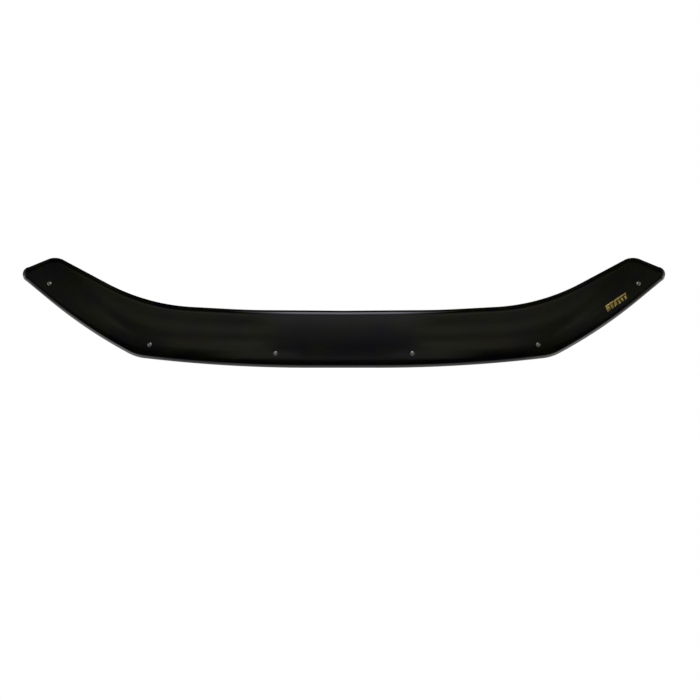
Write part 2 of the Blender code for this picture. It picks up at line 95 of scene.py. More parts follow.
middle_pixel = PICTURE_PIXELS / 2
lens_camera = bpy.data.cameras.new("camera")
lens_camera.lens = lens_camera.sensor_width * CAMERA_DISTANCE / (PICTURE_PIXELS * METRES_PER_PIXEL)
lens_camera.clip_end = 2 * CAMERA_DISTANCE
camera = put_in_scene("camera", lens_camera)
camera.location = (
    (middle_pixel - CENTRE_LINE_PIXEL) * METRES_PER_PIXEL,
    -CAMERA_DISTANCE,
    sheet_low.z + (BOTTOM_EDGE_PIXEL - middle_pixel) * METRES_PER_PIXEL,
)
camera.rotation_euler = (math.pi / 2, 0, 0)
bpy.context.scene.camera = camera
print("lens", round(lens_camera.lens, 1), "mm, camera at", [round(v, 3) for v in camera.location])

# %% [markdown]
# ## Helpers for colours and nodes
#
# Colours are read off a picture as sRGB hex values, but a shader works in linear light, so one
# function turns the first into the second. Node trees get long in code. One function that adds a
# node, sets its options and joins its inputs keeps each material readable.


# %% Colours and nodes
def linear(hex_colour):
    """Linear RGBA from an sRGB hex value such as 1A1B16."""
    channels = [int(hex_colour[i : i + 2], 16) / 255 for i in (0, 2, 4)]
    return (*[c / 12.92 if c <= 0.04045 else ((c + 0.055) / 1.055) ** 2.4 for c in channels], 1.0)


def add(tree, kind, inputs=None, **settings):
    """Adds a node. The settings are its options, the inputs are values or sockets to join."""
    made = tree.nodes.new(kind)
    for option, value in settings.items():
        setattr(made, option, value)
    for key, value in (inputs or {}).items():
        if isinstance(value, bpy.types.NodeSocket):
            tree.links.new(value, made.inputs[key])
        else:
            made.inputs[key].default_value = value
    return made


def new_material(name, colour, roughness, metallic=0.0, ior=1.5):
    """A material with its plain values set: (material, node tree, shader)."""
    made = bpy.data.materials.new(name)
    made.use_nodes = True
    shader = made.node_tree.nodes["Principled BSDF"]
    shader.inputs["Base Color"].default_value = linear(colour)
    shader.inputs["Roughness"].default_value = roughness
    shader.inputs["Metallic"].default_value = metallic
    shader.inputs["IOR"].default_value = ior
    return made, made.node_tree, shader


print("mid grey in linear light:", [round(c, 3) for c in linear("808080")[:3]])

# %% [markdown]
# ## Light for a black, glossy thing
#
# A black gloss surface has almost no colour of its own: what is seen in it is the room, at about
# four parts in a hundred. A photographer stands such a thing before plain white and surrounds the
# rest of it with dark cards, so that only chosen edges catch the light. The world here does the
# same. Matt surfaces and the camera see plain white. A reflection sees a dim room instead.
# A direction is told by the mirror that would show it to the camera: how steeply the mirror leans
# back, and how steeply it turns to the side. The lean becomes a pitch, which is 0 straight ahead,
# 90 up, -90 down and 180 behind. Brightness is a ramp over that pitch, with one ramp for each
# zone from the middle of the sheet out to its wings. A zone's faint tint colours only the pitches
# under 60. The pale floor far below lights the bottom rim, and its glow ends a little higher for
# each zone, as the rim turns.

# %% The room in numbers
WHITE = (1.0, 1.0, 1.0)
# Stops that all zones share, as (pitch, brightness). The floor's glow counts down from its end.
BELOW = [(-180, 0.50), (-150, 1.00)]
FLOOR_GLOW = [(24, 1.45), (12, 1.05), (6, 0.60), (0, 0.03)]
BEHIND = [(155, 0.01), (168, 0.50), (180, 0.50)]
TINTED_TO = 60
# Each zone: how far aside, tint, pitch where the floor's glow ends, (pitch, brightness) stops.
ROOM = [
    (0.030, (0.94, 0.94, 1.00), -97, [
        (-60, 0.02), (-31, 0.04), (-27, 0.15), (-24, 0.20), (-21, 0.17), (-17, 0.14), (-13, 0.13),
        (-9, 0.12), (-4, 0.13), (0, 0.17), (5, 0.27), (9, 0.44), (32, 0.38), (48, 0.14),
        (60, 0.01), (80, 0.005),
    ]),
    (0.044, (0.97, 0.97, 0.94), -97, [
        (-60, 0.02), (-31, 0.04), (-27, 0.13), (-24, 0.24), (-21, 0.30), (-17, 0.29), (-13, 0.21),
        (-9, 0.14), (-4, 0.15), (0, 0.17), (5, 0.29), (9, 0.44), (32, 0.38), (48, 0.14),
        (60, 0.01), (80, 0.005),
    ]),
    (0.085, (1.00, 0.99, 0.80), -96, [
        (-60, 0.01), (-31, 0.01), (-28, 0.08), (-26, 0.22), (-22, 0.27), (-17, 0.28), (-9, 0.31),
        (-4, 0.35), (0, 0.19), (3.5, 0.36), (7, 0.17), (10, 0.28), (14, 0.42), (24, 0.36),
        (38, 0.20), (52, 0.01),
    ]),
    (0.160, (1.00, 0.98, 0.74), -95, [
        (-60, 0.005), (-24, 0.01), (-20, 0.045), (-16, 0.08), (-12.5, 0.18), (-11, 0.26),
        (-4, 0.28), (0, 0.18), (3.5, 0.33), (7, 0.20), (10, 0.24), (14, 0.42), (24, 0.30),
        (36, 0.10), (50, 0.008),
    ]),
    (0.250, (0.99, 1.00, 0.76), -94, [
        (-60, 0.005), (-26, 0.01), (-22, 0.05), (-16, 0.09), (-11, 0.125), (-4, 0.12), (-1, 0.11),
        (1.5, 0.13), (3.5, 0.21), (5, 0.24), (9, 0.16), (14, 0.15), (30, 0.06), (45, 0.006),
    ]),
    (0.290, (1.00, 1.00, 0.76), -94, [
        (-60, 0.005), (-29, 0.01), (-23, 0.06), (-16, 0.09), (-11, 0.13), (-8, 0.20), (-5, 0.28),
        (-2, 0.25), (1, 0.17), (4, 0.12), (8, 0.08), (13, 0.07), (16, 0.15), (22, 0.04),
        (40, 0.005),
    ]),
    (0.330, (1.00, 1.00, 0.80), -94, [
        (-60, 0.005), (-28, 0.01), (-24, 0.07), (-17, 0.11), (-12, 0.17), (-7, 0.20), (-3, 0.15),
        (1, 0.11), (8, 0.08), (14, 0.06), (18, 0.16), (23, 0.03), (40, 0.005),
    ]),
    (0.375, (1.00, 1.00, 0.88), -93, [
        (-60, 0.005), (-28, 0.01), (-24, 0.07), (-19, 0.12), (-10, 0.13), (0, 0.10), (8, 0.08),
        (14, 0.06), (18, 0.12), (23, 0.03), (40, 0.005),
    ]),
    (0.620, WHITE, -91, [(-60, 0.01), (-30, 0.03), (-18, 0.12), (0, 0.03), (40, 0.005)]),
    (0.900, WHITE, -88, [(-50, 0.14), (-20, 0.50), (0, 0.30), (40, 0.06)]),
    (1.600, WHITE, -30, [(-15, 0.90), (0, 0.60), (40, 0.30)]),
    (3.200, WHITE, -30, [(-15, 0.50), (0, 0.35), (60, 0.45), (140, 0.35)]),
]
print(len(ROOM), "zones, the farthest", ROOM[-1][0], "to the side")

# %% [markdown]
# ## The room as ramps
#
# A mirror that shows the camera a direction stands halfway between that direction and the
# camera's. So a direction's lean is the angle of its height over its way toward the camera, and
# its turn to the side is a plain share of the same. Both are a few Math nodes. One colour ramp
# for each zone then turns the lean into brightness.

# %% World
world = bpy.data.worlds.new("studio")
bpy.context.scene.world = world
world.use_nodes = True
room = world.node_tree
room.nodes.clear()
toward = add(room, "ShaderNodeTexCoord").outputs["Generated"]
parts = add(room, "ShaderNodeSeparateXYZ", {0: toward})
facing = add(room, "ShaderNodeMath", {0: 1.0, 1: parts.outputs["Y"]}, operation="SUBTRACT")
lean = add(
    room, "ShaderNodeMath", {0: parts.outputs["Z"], 1: facing.outputs[0]}, operation="ARCTAN2"
)
turn = add(
    room,
    "ShaderNodeMapRange",
    {"Value": lean.outputs[0], "From Min": -math.pi / 2, "From Max": math.pi / 2},
)
aside = add(room, "ShaderNodeMath", {0: parts.outputs["X"]}, operation="ABSOLUTE")
sideways = add(
    room, "ShaderNodeMath", {0: aside.outputs[0], 1: facing.outputs[0]}, operation="DIVIDE"
)


def fill_ramp(ramp, stops):
    """Sets a ramp's stops, each given as (position, brightness, tint)."""
    elements = ramp.color_ramp.elements
    while len(elements) < len(stops):
        elements.new(0.5)
    for element, (position, value, tint) in zip(elements, stops):
        element.position = position
        element.color = (*[value * channel for channel in tint], 1)


ramps = []
for _, tint, rim, stops in ROOM:
    glow = [(rim - lower, value) for lower, value in FLOOR_GLOW]
    ramp = add(room, "ShaderNodeValToRGB", {"Fac": turn.outputs[0]})
    fill_ramp(ramp, [
        ((angle + 180) / 360, value, tint if abs(angle) < TINTED_TO else WHITE)
        for angle, value in BELOW + glow + stops + BEHIND
    ])
    ramps.append(ramp.outputs["Color"])
print("room drawn by", len(ramps), "ramps")

# %% [markdown]
# ## One room out of many ramps
#
# A ramp knows only one direction, up and down, but the room also changes from the middle to the
# sides. So each ramp is mixed into the one before it, over a window of how far the direction lies
# to the side. A smooth window keeps edges out of the reflections. The ray's kind then chooses
# between this dim room and plain white.

# %% Blend the room by how far it lies to the side
dim_room = ramps[0]
for (nearer, *_), (farther, *_), ramp in zip(ROOM, ROOM[1:], ramps[1:]):
    window = add(
        room,
        "ShaderNodeMapRange",
        {"Value": sideways.outputs[0], "From Min": nearer, "From Max": farther},
        interpolation_type="SMOOTHSTEP",
    )
    blended = add(
        room,
        "ShaderNodeMix",
        {0: window.outputs[0], 6: dim_room, 7: ramp},
        data_type="RGBA",
    )
    dim_room = blended.outputs[2]
rays = add(room, "ShaderNodeLightPath")
seen = add(
    room,
    "ShaderNodeMix",
    {0: rays.outputs["Is Glossy Ray"], 6: (1, 1, 1, 1), 7: dim_room},
    data_type="RGBA",
)
sky = add(room, "ShaderNodeBackground", {"Color": seen.outputs[2], "Strength": 1.0})
add(room, "ShaderNodeOutputWorld", {"Surface": sky.outputs[0]})
print("world made with", len(room.nodes), "nodes")

# %% [markdown]
# ## A soft light from above
#
# The white world alone lights matt things evenly and gives them no form. A photographer hangs a
# softbox over the table for that. An area light does the same: wide, so that the shadow on the
# floor stays soft, and hidden from reflections, because the room already holds what they see.

# %% Softbox
SOFTBOX_HEIGHT = 2.0
SOFTBOX_WIDTH = 1.6
SOFTBOX_DEPTH = 0.8
SOFTBOX_FORWARD = 0.4
SOFTBOX_WATTS = 30.0

lamp = bpy.data.lights.new("softbox", "AREA")
lamp.shape = "RECTANGLE"
lamp.size = SOFTBOX_WIDTH
lamp.size_y = SOFTBOX_DEPTH
lamp.energy = SOFTBOX_WATTS
softbox = put_in_scene("softbox", lamp)
softbox.location = (0, -SOFTBOX_FORWARD, SOFTBOX_HEIGHT)
softbox.visible_glossy = False
bpy.context.scene.view_settings.view_transform = "Standard"
print("softbox", SOFTBOX_WIDTH, "by", SOFTBOX_DEPTH, "m, at", SOFTBOX_HEIGHT, "m")

# %% [markdown]
# ## A card over the middle
#
# The line of light along the top edge stops well short of the wings. A far light couldn't do
# that, because every piece of the lip that leans the same way would show it. So it is a sheet of
# lit paper, hung a metre above the middle, which only the middle of the lip faces. It fades
# toward its ends like paper lit from one side, and only reflections see it.

# %% Card
CARD_HEIGHT = 1.0
CARD_DEPTH = 2.6
CARD_WIDTH = 0.62
CARD_FULL_TO = 0.13
CARD_BRIGHTNESS = 3.5
CARD_TINT = (0.98, 0.95, 1.08)
# Each stop: metres back from the middle of the card, and the share of its brightness there.
CARD_STOPS = [
    (-1.20, 0.0), (-0.80, 0.34), (-0.45, 0.80), (-0.18, 1.0), (0.04, 0.95), (0.20, 0.50),
    (0.34, 0.12), (0.50, 0.01),
]

bm = bmesh.new()
bmesh.ops.create_grid(bm, x_segments=1, y_segments=1, size=0.5)
bmesh.ops.scale(bm, verts=bm.verts, vec=(CARD_WIDTH, CARD_DEPTH, 1))
card = put_in_scene("card", mesh_of("card", bm))
card.location = (0, 0, CARD_HEIGHT)
print("card", CARD_WIDTH, "by", CARD_DEPTH, "m, at", CARD_HEIGHT, "m")

# %% [markdown]
# ## The card's paper
#
# Lit paper glows from its own face, so it is an emission whose strength follows a ramp from
# front to back and fades to nothing at the sides. The rest of it is clear, so that where it is
# dim it doesn't hide the room. Only reflections may see it.

# %% Paper of the card
paper, tree, shader = new_material("lit_paper", "FFFFFF", 0.9)
place = add(tree, "ShaderNodeTexCoord").outputs["Object"]
spot = add(tree, "ShaderNodeSeparateXYZ", {0: place})
along = add(
    tree,
    "ShaderNodeMapRange",
    {"Value": spot.outputs["Y"], "From Min": -CARD_DEPTH / 2, "From Max": CARD_DEPTH / 2},
)
ramp = add(tree, "ShaderNodeValToRGB", {"Fac": along.outputs[0]})
fill_ramp(ramp, [(back / CARD_DEPTH + 0.5, value, CARD_TINT) for back, value in CARD_STOPS])
aside = add(tree, "ShaderNodeMath", {0: spot.outputs["X"]}, operation="ABSOLUTE")
edge = add(
    tree,
    "ShaderNodeMapRange",
    {
        "Value": aside.outputs[0],
        "From Min": CARD_FULL_TO,
        "From Max": CARD_WIDTH / 2,
        "To Min": CARD_BRIGHTNESS,
        "To Max": 0.0,
    },
    interpolation_type="SMOOTHSTEP",
)
glow = add(
    tree, "ShaderNodeEmission", {"Color": ramp.outputs["Color"], "Strength": edge.outputs[0]}
)
clear = add(tree, "ShaderNodeBsdfTransparent")
lit = add(tree, "ShaderNodeAddShader", {0: glow.outputs[0], 1: clear.outputs[0]})
tree.links.new(lit.outputs[0], tree.nodes["Material Output"].inputs["Surface"])
tree.nodes.remove(shader)
card.data.materials.append(paper)
for kind in ("camera", "diffuse", "transmission", "volume_scatter", "shadow"):
    setattr(card, f"visible_{kind}", False)
print("the paper fades over", len(CARD_STOPS), "stops")

# %% [markdown]
# ## The floor
#
# The deflector hangs on a car, so here it hangs just clear of a plain pale floor. A floor that
# ends shows a horizon, so this one is a disc whose edge fades out into the white of the world.
# Reflections don't see it, as a dark card would keep it out of the sheet in a studio.

# %% Floor
FLOOR_CLEARANCE = 0.002
FLOOR_RADIUS = 3.0
FLOOR_SIDES = 96
FLOOR_FADE_START = 1.3
FLOOR_FADE_END = 2.9

bm = bmesh.new()
bmesh.ops.create_circle(bm, cap_ends=True, segments=FLOOR_SIDES, radius=FLOOR_RADIUS)
bmesh.ops.translate(bm, verts=bm.verts, vec=(0, 0, sheet_low.z - FLOOR_CLEARANCE))
floor = put_in_scene("floor", mesh_of("floor", bm))
floor_paint, tree, shader = new_material("matt_white_floor", "F4F4F2", 0.9)
shader.inputs["Specular IOR Level"].default_value = 0.0
place = add(tree, "ShaderNodeTexCoord").outputs["Object"]
flat = add(tree, "ShaderNodeVectorMath", {0: place, 1: (1, 1, 0)}, operation="MULTIPLY")
away = add(tree, "ShaderNodeVectorMath", {0: flat.outputs[0]}, operation="LENGTH")
fade = add(
    tree,
    "ShaderNodeMapRange",
    {"Value": away.outputs["Value"], "From Min": FLOOR_FADE_START, "From Max": FLOOR_FADE_END},
    interpolation_type="SMOOTHSTEP",
)
clear = add(tree, "ShaderNodeBsdfTransparent")
mixed = add(
    tree,
    "ShaderNodeMixShader",
    {0: fade.outputs["Result"], 1: shader.outputs[0], 2: clear.outputs[0]},
)
tree.links.new(mixed.outputs[0], tree.nodes["Material Output"].inputs["Surface"])
floor.data.materials.append(floor_paint)
floor.visible_glossy = False
print("floor at", round(sheet_low.z - FLOOR_CLEARANCE, 4), "m")

# %% [markdown]
# ## The outline of the sheet
#
# The sheet is trimmed by a router that follows a template, so its outline is straights joined by
# arcs. It could be drawn as a curve object, but the mesh needs to know the place and the heading
# at any distance along it. So the outline is a list of corners, each with the radius that rounds
# it. X is the distance from the centre line and Z the height above the lowest point of the bottom
# edge.

# %% Corners of the outline
BAND_HEIGHT = 0.1252
# Each corner: its place as (x, z), and the radius that rounds it.
CORNERS = [
    ((0, BAND_HEIGHT), 0),
    ((0.2065, 0.1268), 1.78),
    ((0.4294, 0.1388), 0.448),
    ((0.6290, 0.2451), 0.0424),
    ((0.7175, 0.2090), 0.0162),
    ((0.5643, 0.0829), 1.05),
    ((0.4538, 0.0232), 0.100),
    ((0.2488, 0), 3.1),
    ((0, 0), 0),
]
TOP_BEND = 2
PEAK_CORNER = 3
TIP_CORNER = 4
BOTTOM_BEND = 6
print("half of the outline has", len(CORNERS) - 2, "rounded corners")

# %% [markdown]
# ## Rounding the corners
#
# An arc that rounds a corner begins as far before the corner as it ends after it: its radius times
# the tangent of half the turn. Where two arcs would overlap on a short run, both give way in the
# same share. What comes out is a chain of straights and arcs, which ends where the bottom edge
# meets the centre line.


# %% Straights and arcs
def rounded_path(corners):
    """Straights and arcs through the corners, each as (start, heading, length, bend per metre)."""
    points = [Vector(point) for point, _ in corners]
    runs = [after - before for before, after in zip(points, points[1:])]
    headings = [math.atan2(run.y, run.x) for run in runs]
    turns = [math.remainder(b - a, math.tau) for a, b in zip(headings, headings[1:])]
    tangents = [0.0]
    for turn, (_, radius) in zip(turns, corners[1:]):
        tangents.append(radius * math.tan(abs(turn) / 2))
    tangents.append(0.0)
    limited = list(tangents)
    for i, run in enumerate(runs):
        give = min(1.0, run.length / (tangents[i] + tangents[i + 1]))
        limited[i] = min(limited[i], tangents[i] * give)
        limited[i + 1] = min(limited[i + 1], tangents[i + 1] * give)
    path = []
    for i, run in enumerate(runs):
        start = points[i] + run.normalized() * limited[i]
        straight = run.length - limited[i] - limited[i + 1]
        path.append((start, headings[i], straight, 0.0))
        if i < len(turns):
            radius = limited[i + 1] / math.tan(abs(turns[i]) / 2)
            arc = radius * abs(turns[i])
            path.append((start + run.normalized() * straight, headings[i], arc, turns[i] / arc))
    return path


outline = rounded_path(CORNERS)
whole = sum(length for _, _, length, _ in outline)
print("half outline", round(whole, 3), "m in", len(outline), "straights and arcs")

# %% [markdown]
# ## Walking along the outline
#
# Everything at the edge is placed by its distance along the outline, as a router's path is. The
# walk steps over whole straights and arcs and then goes the rest of the way along the last one.
# The middles of the two outer corners are kept, because the lip changes between them.


# %% Walk
def walk(distance):
    """(point, heading) at a distance along the outline."""
    for start, heading, length, bend in outline:
        if distance <= length or outline[-1][0] is start:
            break
        distance -= length
    if bend == 0:
        return start + Vector((math.cos(heading), math.sin(heading))) * distance, heading
    turned = heading + bend * distance
    step = Vector((math.sin(turned) - math.sin(heading), math.cos(heading) - math.cos(turned)))
    return start + step / bend, turned


def middle_of_corner(corner):
    """Distance along the outline to the middle of a corner's arc, which ends its run."""
    lengths = [length for _, _, length, _ in outline[: 2 * corner]]
    return sum(lengths) - lengths[-1] / 2


peak = middle_of_corner(PEAK_CORNER)
tip = middle_of_corner(TIP_CORNER)
print("peak at", round(peak, 3), "m and tip at", round(tip, 3), "m along the outline")

# %% [markdown]
# ## The face of the sheet
#
# The mould bows the sheet round the nose of the car: it lies flat at the middle and sweeps back
# more and more toward the tips. Across its height it is crowned by a few millimetres, and its
# lower part curls back toward the hood. A formula gives the depth of any point of the front
# view, which keeps the whole face one smooth surface, so that reflections run over it unbroken.

# %% Face
BOW_DEPTH = 0.130
BOW_POWER = 2.3
CROWN = 0.0035
BOTTOM_CURL = 0.006
SPINE_EASE = 0.080
SLOPE_STEP = 0.0005

top_bend_x, top_bend_z = CORNERS[TOP_BEND][0]
peak_x, peak_z = CORNERS[PEAK_CORNER][0]
tip_x, tip_z = CORNERS[TIP_CORNER][0]
bottom_bend_x, bottom_bend_z = CORNERS[BOTTOM_BEND][0]
upper_rise = (peak_z - top_bend_z) / (peak_x - top_bend_x)
lower_rise = (tip_z - bottom_bend_z) / (tip_x - bottom_bend_x)
wing_angle = math.atan((upper_rise + lower_rise) / 2)


def spine(x):
    """Height of the line along the middle of the band: level, then rising along the wing."""
    past_bend = abs(x) - (top_bend_x + bottom_bend_x) / 2
    eased = (past_bend + math.hypot(past_bend, SPINE_EASE)) / 2
    return BAND_HEIGHT / 2 + math.tan(wing_angle) * eased


def on_face(x, z):
    """The point of the front surface at this place of the front view."""
    bow = BOW_DEPTH * (abs(x) / tip_x) ** BOW_POWER
    across = (z - spine(x)) / (BAND_HEIGHT / 2)
    return Vector((x, bow + CROWN * across**2 + BOTTOM_CURL * max(-across, 0) ** 3, z))


def face_normal(x, z):
    """The direction in which the front surface faces there."""
    along = on_face(x + SLOPE_STEP, z) - on_face(x - SLOPE_STEP, z)
    up = on_face(x, z + SLOPE_STEP) - on_face(x, z - SLOPE_STEP)
    return along.cross(up).normalized()


print("depth at the tip:", round(on_face(tip_x, spine(tip_x)).y, 3), "m")

# %% [markdown]
# ## The turned-back lip
#
# While the sheet is still soft its edge is folded back over the mould: tightly along the top and
# round the ends, and in a slower roll along the bottom. The lip stiffens the sheet, and it makes
# the bright line that runs along the top in the picture. Its section is an arc and a short
# straight. The straight still curls by ten degrees, because a drawn sheet has no true flat, and
# that alone makes its reflection run from dark to light. The root is moved in from the outline
# until the lip just reaches it.

# %% Lip
# Each lip: how far it turns, the radius of its arc and the length of its straight.
TOP_LIP = (math.radians(60), 0.010, 0.008)
BOTTOM_LIP = (math.radians(38), 0.014, 0.009)
LIP_EASE_LENGTH = 0.060
LIP_STEPS = 12
FLAT_STEPS = 4
FLAT_CURL = math.radians(10)
ROOT_ROUNDS = 6


def lip_section(bottom_share):
    """(outward, backward) steps of the lip, from the face to its free edge."""
    turn, radius, straight = (
        top + (bottom - top) * bottom_share for top, bottom in zip(TOP_LIP, BOTTOM_LIP)
    )
    section = []
    for i in range(LIP_STEPS + 1):
        angle = turn * i / LIP_STEPS
        section.append((radius * math.sin(angle), radius * (1 - math.cos(angle))))
    for i in range(FLAT_STEPS):
        angle = turn + FLAT_CURL * ((i + 0.5) / FLAT_STEPS - 0.5)
        out, back = section[-1]
        step = straight / FLAT_STEPS
        section.append((out + step * math.cos(angle), back + step * math.sin(angle)))
    return section


def lip_line(distance):
    """The lip's points at a distance along the outline, from its root to its free edge."""
    edge, heading = walk(distance)
    outward = Vector((-math.sin(heading), math.cos(heading)))
    bottom_share = min(max((distance - peak) / (tip - peak + LIP_EASE_LENGTH), 0.0), 1.0)
    section = lip_section(bottom_share * bottom_share * (3 - 2 * bottom_share))
    inset = section[-1][0]
    for _ in range(ROOT_ROUNDS):
        root = edge - outward * inset
        normal = face_normal(root.x, root.y)
        out = Vector((outward.x, 0, outward.y))
        out = (out - normal * out.dot(normal)).normalized()
        start = on_face(root.x, root.y)
        line = [start + out * step_out - normal * step_back for step_out, step_back in section]
        inset += max(outward.dot((point.x, point.z)) for point in line) - outward.dot(edge)
    return line


print("top lip", [round(1000 * a, 1) for a in lip_line(0.1)[-1]], "mm at its free edge")

# %% [markdown]
# ## The sheet as a mesh
#
# A grid is laid over the face of the right half. Its columns stand closer where the outline
# bends, so that the arcs stay round. Its border is then extruded outward along the lip. This gives
# clean rows of four-sided faces, which shade far better than a cut-out shape would. The cell finds
# the columns and rows, and the line of the lip at the end of each.

# %% Columns and rows
COLUMN_STEP = 0.0046
CLOSEST_STEP = 0.0013
CHORD_ERROR = 0.00002
END_ROWS = 34


def marks():
    """Distances along the outline where its pieces end or its arcs need a point."""
    found = [0.0]
    for _, _, length, bend in outline:
        steps = math.ceil(length * math.sqrt(abs(bend) / (8 * CHORD_ERROR))) or 1
        start = found[-1]
        found += [start + length * (i + 1) / steps for i in range(steps)]
    return found


def spread(wanted, length):
    """Shares from 0 to 1 that hold the wanted ones, thinned where crowded, filled where sparse."""
    kept = [0.0]
    for one in sorted(wanted):
        if (one - kept[-1]) * length > CLOSEST_STEP and (1 - one) * length > CLOSEST_STEP:
            kept.append(one)
    kept.append(1.0)
    filled = [0.0]
    for before, after in zip(kept, kept[1:]):
        steps = math.ceil((after - before) * length / COLUMN_STEP)
        filled += [before + (after - before) * (i + 1) / steps for i in range(steps)]
    return filled


wanted = [s / peak for s in marks() if s < peak]
wanted += [(whole - s) / (whole - tip) for s in marks() if s > tip]
columns = spread(wanted, peak)
rows = [row / END_ROWS for row in range(END_ROWS + 1)]
top_lines = [lip_line(peak * one) for one in columns]
end_lines = [lip_line(peak + (tip - peak) * one) for one in rows]
bottom_lines = [lip_line(whole - (whole - tip) * one) for one in columns]
print(len(columns), "columns and", len(rows), "rows")

# %% [markdown]
# ## Growing the lip from the face
#
# The grid's points are moved onto the face: a column runs from its root on the top edge to its
# root on the bottom edge. The border is then extruded step by step, and each new ring of points
# takes its place on the lip's section. Growing it this way leaves no seam to close.

# %% Half of the sheet
last_column = len(columns) - 1
bm = bmesh.new()
bmesh.ops.create_grid(bm, x_segments=last_column, y_segments=END_ROWS, size=1)
grid = {}
for vertex in bm.verts:
    column = round((vertex.co.x + 1) / 2 * last_column)
    row = round((1 - vertex.co.y) / 2 * END_ROWS)
    grid[column, row] = vertex
    spot = top_lines[column][0].lerp(bottom_lines[column][0], row / END_ROWS)
    if column == last_column:
        spot = end_lines[row][0]
    vertex.co = on_face(spot.x, spot.z)
ring = [grid[i, 0] for i in range(last_column + 1)]
ring += [grid[last_column, j] for j in range(1, END_ROWS)]
ring += [grid[i, END_ROWS] for i in range(last_column, -1, -1)]
rim = top_lines + end_lines[1:-1] + bottom_lines[::-1]
for step in range(1, LIP_STEPS + FLAT_STEPS + 1):
    edges = [bm.edges.get(pair) for pair in zip(ring, ring[1:])]
    grown = set(bmesh.ops.extrude_edge_only(bm, edges=edges)["geom"])
    ring = [next(e.other_vert(v) for e in v.link_edges if e.other_vert(v) in grown) for v in ring]
    for vertex, line in zip(ring, rim):
        vertex.co = line[step]
for vertex in bm.verts:
    if abs(vertex.co.x) < SLOPE_STEP:
        vertex.co.x = 0
print("half of the front surface:", len(bm.faces), "faces")

# %% [markdown]
# ## Two halves
#
# The sheet is the same on both sides, so the half is mirrored and merged along the centre line.
# A mirror turns a shape inside out, so the faces are made to agree and then to look forward.

# %% Mirror
MERGE_DISTANCE = 0.00001

everything = bm.faces[:] + bm.edges[:] + bm.verts[:]
bmesh.ops.mirror(bm, geom=everything, merge_dist=MERGE_DISTANCE, axis="X")
bmesh.ops.remove_doubles(bm, verts=bm.verts, dist=MERGE_DISTANCE)
bmesh.ops.recalc_face_normals(bm, faces=bm.faces)
if sum(face.normal.y * face.calc_area() for face in bm.faces) > 0:
    bmesh.ops.reverse_faces(bm, faces=bm.faces)
sheet_mesh = mesh_of("sheet", bm)
print("front surface:", len(sheet_mesh.polygons), "faces")

# %% [markdown]
# ## A wall and a polished edge
#
# Solidify gives the sheet its three millimetres, inward from the front surface. A router leaves
# a square edge, which is run over with a flame until it is glossy and a little round, so the free
# edge gets a small bevel.

# %% Wall and edge
WALL = 0.003
EDGE_ROUND = 0.0007
EDGE_ROUND_STEPS = 3
SQUARE_ANGLE = math.radians(60)


def with_modifiers(mesh, modifiers):
    """The mesh after (type, settings) modifiers, as a new mesh."""
    carrier = put_in_scene(mesh.name, mesh)
    for number, (kind, settings) in enumerate(modifiers):
        modifier = carrier.modifiers.new(f"step_{number}", kind)
        for option, value in settings.items():
            setattr(modifier, option, value)
    graph = bpy.context.evaluated_depsgraph_get()
    made = bpy.data.meshes.new_from_object(carrier.evaluated_get(graph))
    bpy.data.objects.remove(carrier)
    return made


def rounded(bm, geometry, offset, steps, affect="EDGES", clamped=False):
    """Bevels edges or vertices round."""
    bmesh.ops.bevel(
        bm,
        geom=geometry,
        offset=offset,
        offset_type="OFFSET",
        segments=steps,
        profile=0.5,
        affect=affect,
        clamp_overlap=clamped,
        material=-1,
    )


def square_edges(bm):
    """The edges where two faces meet at a clear corner."""
    return [edge for edge in bm.edges if edge.calc_face_angle(0) > SQUARE_ANGLE]


thick = {"thickness": WALL, "offset": -1, "use_even_offset": True}
walled = with_modifiers(sheet_mesh, [("SOLIDIFY", thick)])
bm = bmesh.new()
bm.from_mesh(walled)
square = square_edges(bm)
rounded(bm, square, EDGE_ROUND, EDGE_ROUND_STEPS, clamped=True)
bm.to_mesh(walled)
bm.free()
print("whole sheet:", len(walled.polygons), "faces,", len(square), "edges rounded")

# %% [markdown]
# ## Where the screws go
#
# Six screws stand along the lower edge, three to a side. Each is given by its distance from the
# centre line and how far it lies in from the edge. A search along the outline finds the place,
# and the surface there gives a frame of axes: X along the band, Y back into the car and Z across
# it. Everything behind the sheet is modelled once in that frame and then set in place six times.

# %% Places
# Each fixing: its distance from the centre line and from the bottom edge.
FIXINGS = [(0.149, 0.0311), (0.423, 0.0311), (0.6425, 0.0287)]
SEARCH_ROUNDS = 50


def inset_from_bottom(x, inset):
    """The place at this X that lies this far inside the bottom edge, and the edge's slope."""
    near = 0.0
    far = whole / 2
    for _ in range(SEARCH_ROUNDS):
        middle = (near + far) / 2
        edge, heading = walk(whole - middle)
        spot = edge + Vector((math.sin(heading), -math.cos(heading))) * inset
        if spot.x < x:
            near = middle
        else:
            far = middle
    return spot, heading - math.pi


def frame_at(spot, slope):
    """The axes of a fixing on the front surface, as a matrix."""
    normal = face_normal(spot.x, spot.y)
    along = Vector((math.cos(slope), 0, math.sin(slope)))
    along = (along - normal * along.dot(normal)).normalized()
    turned = Matrix((along, -normal, along.cross(-normal))).transposed().to_4x4()
    return Matrix.Translation(on_face(spot.x, spot.y)) @ turned


right = [inset_from_bottom(x, inset) for x, inset in FIXINGS]
left = [(Vector((-spot.x, spot.y)), -slope) for spot, slope in reversed(right)]
fixing_frames = [frame_at(spot, slope) for spot, slope in left + right]
print("screws at", [round(matrix.translation.x, 4) for matrix in fixing_frames], "m")

# %% [markdown]
# ## Where the origin lies
#
# The deflector hangs on the front lip of the hood, which the clips grip, so the solids have their
# origin there: on the centre line, level with the middle of the two inner clips' mouths. A mouth
# runs from the end of the screw to the ends of the jaws. Where these lie follows from the screw's
# length and from the stack in front of the clip: the sheet, the rubber spacer, and the hair's
# breadth that is left between them. All places are then moved by that.

